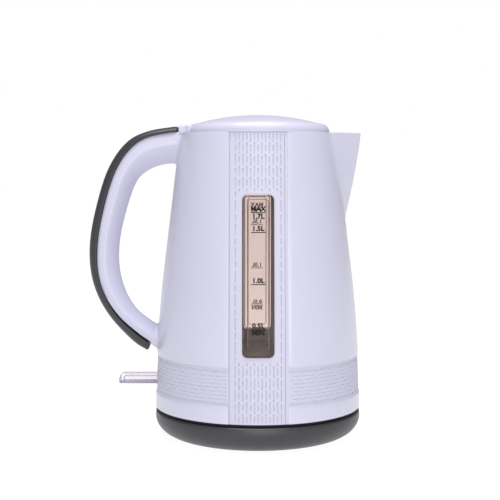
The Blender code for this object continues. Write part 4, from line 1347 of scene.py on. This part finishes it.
# ------------------------------------------------------------------ collar and lid
@dataclass
class Top:
    """The shoulder collar, the lid, its hinge knuckles and the release button."""

    seam_radius: float = 0.0502
    seam_z: float = 0.2396
    seat_z: float = 0.2374          # ledge that the lid lies on
    under_z: float = 0.2378         # the cap's underside
    shoulder_radius: float = 0.0560
    shoulder_z: float = 0.2326
    lip: tuple[float, float] = (0.0602, 0.23185)
    skirt: tuple[float, float] = (0.0557, 0.0573)
    foot_z: tuple[float, float] = (0.2260, 0.2265)  # lower ends of neck and skirt
    neck: tuple[float, float] = (0.0455, 0.0470)
    web_z: float = 0.2358
    bridge_low_z: float = 0.2319
    hinge: tuple[float, float] = (-0.0470, 0.2362)
    knuckle: float = 0.0034
    knuckles_y: tuple[float, float] = (0.0105, 0.0170)
    web_x: float = -0.0405          # where the knuckles' webs end in the cap
    catch_y: tuple[float, float] = (-0.0060, -0.0010)
    cup_radius: float = 0.0435
    cup_wall: float = 0.0032
    cup_z: tuple[float, float] = (0.2250, 0.2376)
    groove_z: tuple[float, float] = (0.2300, 0.2320)
    groove_depth: float = 0.0012
    button_low_z: float = 0.2363
    well_z: float = 0.2341
    ridge_pitch: float = 0.0018
    swing: float = 0.0016
    gap: float = 0.0003
    button_x: tuple[float, float] = (-0.0598, -0.0518)

    def __post_init__(self) -> None:
        """Read the lid's and the button's places off the frame."""
        self.lid_low, self.lid_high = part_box("lid_cap")
        self.button_low, self.button_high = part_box("lid_button")

    def _shoulder(self, steps: int = 14) -> list[tuple[float, float]]:
        """The shoulder's quarter curve from the lid's seam to its foot."""
        start = (self.seam_radius + 0.0003, self.seam_z)
        points = []
        for step in range(steps + 1):
            angle = math.pi / 2 * step / steps
            points.append((start[0] + (self.shoulder_radius - start[0]) * math.sin(angle),
                           start[1] + (self.shoulder_z - start[1]) * (1 - math.cos(angle))))
        return points

    def _collar(self) -> BMesh:
        """The collar with the bridge behind the lid."""
        lip_radius, lip_z = self.lip
        skirt_in, skirt_out = self.skirt
        neck_in, neck_out = self.neck
        neck_low, skirt_low = self.foot_z
        profile = self._shoulder() + [
            (lip_radius - 0.0002, self.shoulder_z - 0.0001), (lip_radius, lip_z),
            (skirt_out, lip_z), (skirt_out, skirt_low), (skirt_in, skirt_low),
            (skirt_in, 0.2318), (0.0526, self.web_z), (neck_out, self.web_z),
            (neck_out, neck_low), (neck_in, neck_low), (neck_in, self.seat_z),
            (self.seam_radius, self.seat_z), (self.seam_radius, self.seam_z - 0.0002)]
        low, high, gap = self.button_low, self.button_high, self.gap
        rear, fore = self.button_x
        hinge_x, hinge_z = self.hinge
        reach = self.knuckle + 0.0004
        side = self.knuckles_y[1] + 0.0005
        near, far = self.catch_y
        tools = [
            ("UNION", block((-0.0540, -0.0205, self.bridge_low_z), (-0.0440, 0.0205, 0.2383),
                            0.0010, 3)),
            ("UNION", block((-0.0609, -0.0125, self.bridge_low_z), (-0.0440, 0.0125, 0.23831),
                            0.0010, 3)),
            ("DIFFERENCE", block((hinge_x - reach, -side, hinge_z - reach - 0.0002),
                                 (-0.0400, side, 0.2500))),
            ("DIFFERENCE", block((rear - gap, low.y - gap, self.well_z),
                                 (fore + gap, high.y + gap, 0.2500))),
            ("DIFFERENCE", block((-0.0555, near - 0.0005, 0.2200),
                                 (-0.0430, far + 0.0005, 0.2370))),
        ]
        return combined(turned(profile), tools)

    def _cap(self) -> BMesh:
        """The domed lid with its knuckles."""
        rim = self.seam_radius - self.gap
        top_z, seam_z, under_z = self.lid_high.z, self.seam_z, self.under_z
        steps = 16
        dome = [(rim * s / steps, top_z - (top_z - seam_z) * (s / steps) ** 2)
                for s in range(steps)]
        edge = [(rim - 0.0003, seam_z + 0.0001), (rim, seam_z - 0.0003), (rim, under_z),
                (rim - 0.0018, under_z)]
        shape = turned(dome + edge + [(0.0, under_z)], closed=False)
        rear = self.hinge[0] + 0.0035
        geom = shape.verts[:] + shape.edges[:] + shape.faces[:]
        bmesh.ops.bisect_plane(shape, geom=geom, dist=MERGE, plane_co=(rear, 0, 0),
                               plane_no=(1, 0, 0), clear_inner=True)
        bmesh.ops.holes_fill(shape, edges=open_edges(shape, lambda p: True), sides=0)
        for point in shape.verts:
            over = math.hypot(point.co.x - self.swing, point.co.y) / rim
            if point.co.x < 0.0 and over > 1.0:
                point.co.x = self.swing + (point.co.x - self.swing) / over
                point.co.y /= over
        bmesh.ops.recalc_face_normals(shape, faces=shape.faces)
        ease(shape, 0.0004, 2, 50.0)
        hinge_x, hinge_z = self.hinge
        inner, outer = self.knuckles_y
        shapes = [shape]
        for near, far in ((-outer, -inner), self.catch_y, (inner, outer)):
            barrel = rod((hinge_x, near, hinge_z), (hinge_x, far, hinge_z), self.knuckle)
            shapes.append(ease(barrel, 0.0003, 2, 60.0))
            shapes.append(block((hinge_x + 0.0020, near + 0.0001, under_z + 0.0001),
                                (self.web_x, far - 0.0001, hinge_z + 0.0038), 0.0004))
        shapes.append(block((-0.0480, self.catch_y[0] + 0.0002, 0.2302),
                            (-0.0460, self.catch_y[1] - 0.0002, 0.2342), 0.0003))
        return gathered(shapes)

    def _liner(self) -> BMesh:
        """The cup under the lid, with the groove of its seal."""
        radius, inner = self.cup_radius, self.cup_radius - self.cup_wall
        low, high = self.cup_z
        groove_low, groove_high = self.groove_z
        groove = radius - self.groove_depth
        profile = [(0.0, low + 0.0016), (inner, low + 0.0016), (inner, high), (radius, high),
                   (radius, groove_high), (groove, groove_high), (groove, groove_low),
                   (radius, groove_low), (radius, low + 0.0015), (radius - 0.0015, low),
                   (0.0, low)]
        return ease(turned(profile, closed=False), 0.0003, 2, 40.0)

    def _button(self) -> BMesh:
        """The release button with finger ridges and its catch arm."""
        low, high = self.button_low, self.button_high
        rear, fore = self.button_x
        cap_low = self.button_low_z
        shapes = [block((rear, low.y, cap_low), (fore, high.y, high.z), 0.0006, 3)]
        for step in (-1, 0, 1):
            x = (rear + fore) / 2 + step * self.ridge_pitch
            shapes.append(block((x - 0.0003, low.y + 0.0022, high.z - 0.0004),
                                (x + 0.0003, high.y - 0.0022, high.z + 0.0002), 0.00015, 2))
        near, far = self.catch_y
        shapes.append(block((-0.0550, near, 0.2262), (-0.0530, far, cap_low + 0.0008), 0.0002))
        shapes.append(block((-0.0549, near + 0.0001, 0.2263), (-0.0450, far - 0.0001, 0.2278),
                            0.0002))
        shapes.append(block((-0.0466, near + 0.0002, 0.2264), (-0.0451, far - 0.0002, 0.2292),
                            0.0002))
        return gathered(shapes)

    def build(self) -> None:
        """Make the top's pieces."""
        publish("shoulder_collar", self._collar(), PLAIN_WHITE, Rides.KETTLE, ["collar"])
        publish("lid_dome", self._cap(), PLAIN_WHITE, Rides.LID, ["lid_cap"])
        publish("lid_cup", self._liner(), INNER_WHITE, Rides.LID, ["lid_liner"])
        publish("release_button", self._button(), PLAIN_WHITE, Rides.BUTTON, ["lid_button"])


# ------------------------------------------------------------------ lever
@dataclass
class Lever:
    """The clear switch lever: a paddle with a clear core inside it."""

    chamfer: float = 0.0018
    rounding: float = 0.0014
    core_low: tuple[float, float, float] = (0.0030, 0.0020, 0.0012)
    core_high: tuple[float, float, float] = (0.0090, 0.0020, 0.0022)

    def build(self) -> None:
        """Make the lever."""
        low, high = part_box("switch_lever")
        shape = block(low, high)
        tip_top = [e for e in shape.edges
                   if all(v.co.x < low.x + MERGE and v.co.z > high.z - MERGE for v in e.verts)]
        bmesh.ops.bevel(shape, geom=tip_top, offset=self.chamfer, segments=1, profile=0.5,
                        affect="EDGES", material=-1)
        ease(shape, self.rounding, 4)
        inner = block(low + Vector(self.core_low), high - Vector(self.core_high), 0.0008, 3)
        publish("lever_paddle", shape, CLEAR, Rides.LEVER, ["switch_lever"])
        publish("lever_core", inner, CLEAR, Rides.LEVER)


# ------------------------------------------------------------------ power base
@dataclass
class PowerBase:
    """The round base: bowl-sided cover, deck, and a black band under the body that paints the
    shade of the deep gap there.
    """

    radius: float = 0.0789
    foot_radius: float = 0.0600
    low_z: float = 0.0008
    bend_z: float = 0.0160
    edge_z: float = 0.0204
    deck_z: float = 0.0216
    wall: float = 0.0022
    socket_radius: float = 0.0168
    deck_radius: float = 0.0748
    rim_radius: float = 0.0754      # foot of the deck's step
    notch_half: float = 0.0053      # the opening over the cord gland
    # black band in the gap under the body: painted shade of that deep gap
    gap_shade_radii: tuple[float, float] = (0.0758, 0.0780)
    gap_shade_z: tuple[float, float] = (0.0212, 0.0230)

    def _cover(self) -> BMesh:
        """The cover, open below."""
        side = []
        steps = 22
        for step in range(steps + 1):
            angle = math.pi / 2 * step / steps
            side.append((self.foot_radius + (self.radius - self.foot_radius) * math.cos(angle),
                         self.bend_z - (self.bend_z - self.low_z) * math.sin(angle)))
        top = [(self.socket_radius, self.deck_z), (self.deck_radius, self.deck_z),
               (self.rim_radius, self.edge_z), (self.radius - 0.0012, self.edge_z),
               (self.radius - 0.0002, self.edge_z - 0.0012)]
        inner = [(self.foot_radius - 0.0015, self.low_z)]
        inner += [(r - self.wall * 0.8, z + self.wall * 0.6) for r, z in side[-4::-4]]
        inner += [(self.radius - self.wall, self.deck_z - self.wall),
                  (self.socket_radius, self.deck_z - self.wall)]
        shape = turned(top + side + inner)
        ease(shape, 0.00025, 2, 20.0)
        notch = block((-self.notch_half, 0.0500, -0.0020), (self.notch_half, 0.0900, 0.0093))
        return combined(shape, [("DIFFERENCE", notch)])

    def _foot(self, x: float, y: float) -> BMesh:
        """A domed rubber foot."""
        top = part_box("base_foot_1")[1].z
        profile = [(0.0, 0.0), (0.0036, 0.0), (0.0048, 0.0002), (0.0050, 0.0005), (0.0050, top),
                   (0.0, top)]
        return shifted(turned(profile, 40, closed=False), x, y)

    def build(self) -> None:
        """Make the base's pieces."""
        publish("base_bowl", self._cover(), GREY, Rides.BASE, ["base_cover"])
        for number in (1, 2, 3):
            node = f"base_foot_{number}"
            low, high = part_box(node)
            middle = (low + high) / 2
            publish(f"rubber_foot_{number}", self._foot(middle.x, middle.y), RUBBER, Rides.BASE,
                    [node])
        # painted shade: a black band filling the gap between body and base
        inner, outer = self.gap_shade_radii
        low, high = self.gap_shade_z
        gap_shade_ring = turned([(inner, low), (outer - 0.0002, low), (outer, low + 0.0004), (outer, high),
                       (inner, high)])
        publish("foot_gap_shade", gap_shade_ring, BLACK, Rides.KETTLE)


# ------------------------------------------------------------------ carried-over nodes
@dataclass
class Inside:
    """The frame's own nodes that stay: seals, screws, heater, control and contacts."""

    def _finish_of(self, node: str) -> Finish:
        """The finish that a node's name calls for."""
        table = (
            (("screw", "pin", "spring", "plate_clamp", "heating", "filter_mesh"), STEEL),
            (("spreader",), ALUMINIUM),
            (("contact", "lead", "disc", "coupler_ring"), BRASS),
            (("seal", "grommet"), SILICONE),
            (("foot", "gland"), RUBBER),
            (("lamp",), LAMP),
            (("socket", "housing", "coupler_plug"), BLACK),
            (("base_", "bottom_cover", "grip"), GREY),
            (("window",), TINTED),
            (("lever",), CLEAR),
        )
        for words, finish in table:
            if any(word in node for word in words):
                return finish
        return INNER_WHITE

    def build(self) -> None:
        """Dress every node."""
        for name, node in sorted(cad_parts.items()):
            finish = self._finish_of(name)
            node.data.materials.clear()
            node.data.materials.append(finish.material())
            log.info("%s dressed in %s", name, finish.name)


# ------------------------------------------------------------------ studio
@dataclass(frozen=True)
class SoftBox:
    """A soft rectangular light."""

    name: str
    place: Place
    aim: Place
    width: float
    height: float
    power: float

    def build(self) -> None:
        """Hang the light."""
        data = bpy.data.lights.new(self.name, "AREA")
        data.shape = "RECTANGLE"
        data.size = self.width
        data.size_y = self.height
        data.energy = self.power
        item = bpy.data.objects.new(self.name, data)
        item.location = self.place
        toward = Vector(self.aim) - Vector(self.place)
        item.rotation_euler = toward.to_track_quat("-Z", "Y").to_euler()
        bpy.context.scene.collection.objects.link(item)


@dataclass
class Studio:
    """A pale floor, soft lights and the camera."""

    front: SoftBox = SoftBox("front_box", (0.12, -1.45, 0.24), (0.0, 0.0, 0.10), 0.9, 0.40, 7.8)
    top: SoftBox = SoftBox("top_box", (0.0, -0.3, 1.5), (0.0, 0.0, 0.2), 1.0, 1.0, 23.0)
    air: float = 0.29               # strength of the light from all round
    floor_half: float = 30.0
    floor_glow: float = 0.94
    camera_place: Place = (-0.0059, -0.8500, 0.1965)
    lens: float = 78.5
    shift: float = -0.14            # keeps the level camera's picture on the kettle

    def _floor(self) -> None:
        """A wide pale floor."""
        shape = bmesh.new()
        bmesh.ops.create_grid(shape, x_segments=4, y_segments=4, size=self.floor_half)
        item = loose_object("studio_floor", shape)
        tree = Tree("pale_floor")
        mottle = tree.noise(3.0, 2.0)
        shader = tree.node("ShaderNodeBsdfPrincipled", inputs={
            "Base Color": tree.blend(mottle, (0.22, 0.22, 0.22), (0.24, 0.24, 0.24)),
            "Roughness": 0.9, "Specular IOR Level": 0.1,
            "Emission Color": (1.0, 1.0, 1.0, 1.0), "Emission Strength": self.floor_glow})
        item.data.materials.append(tree.finish(shader))

    def _world(self) -> None:
        """Even light from all round, and a white backdrop."""
        world = bpy.data.worlds.new("studio_air")
        world.use_nodes = True
        tree = world.node_tree
        back = tree.nodes["Background"]
        back.inputs["Color"].default_value = (1.0, 1.0, 1.0, 1.0)
        back.inputs["Strength"].default_value = self.air
        seen = tree.nodes.new("ShaderNodeBackground")
        seen.inputs["Color"].default_value = (1.0, 1.0, 1.0, 1.0)
        seen.inputs["Strength"].default_value = 1.0
        path = tree.nodes.new("ShaderNodeLightPath")
        mix = tree.nodes.new("ShaderNodeMixShader")
        tree.links.new(path.outputs["Is Camera Ray"], mix.inputs[0])
        tree.links.new(back.outputs[0], mix.inputs[1])
        tree.links.new(seen.outputs[0], mix.inputs[2])
        tree.links.new(mix.outputs[0], tree.nodes["World Output"].inputs["Surface"])
        bpy.context.scene.world = world

    def build(self) -> None:
        """Set up the studio."""
        self._floor()
        self._world()
        self.front.build()
        self.top.build()
        camera = bpy.data.cameras.new("camera")
        camera.lens = self.lens
        camera.shift_y = self.shift
        camera.clip_start = 0.01
        item = bpy.data.objects.new("camera", camera)
        item.location = self.camera_place
        item.rotation_euler = (math.radians(90.0), 0.0, 0.0)
        bpy.context.scene.collection.objects.link(item)
        bpy.context.scene.camera = item
        bpy.context.scene.view_settings.view_transform = "Standard"


def main() -> None:
    """Build the studio, then the kettle piece by piece."""
    logging.basicConfig(level=logging.INFO, format="%(message)s")
    wall = Wall()
    Studio().build()
    Inside().build()
    BodyShell(wall, Spout(wall), Relief()).build()
    Handle(wall).build()
    Gauge(wall, -1).build()
    Gauge(wall, 1).build()
    Top().build()
    Lever().build()
    PowerBase().build()


if __name__ == "__main__":
    main()
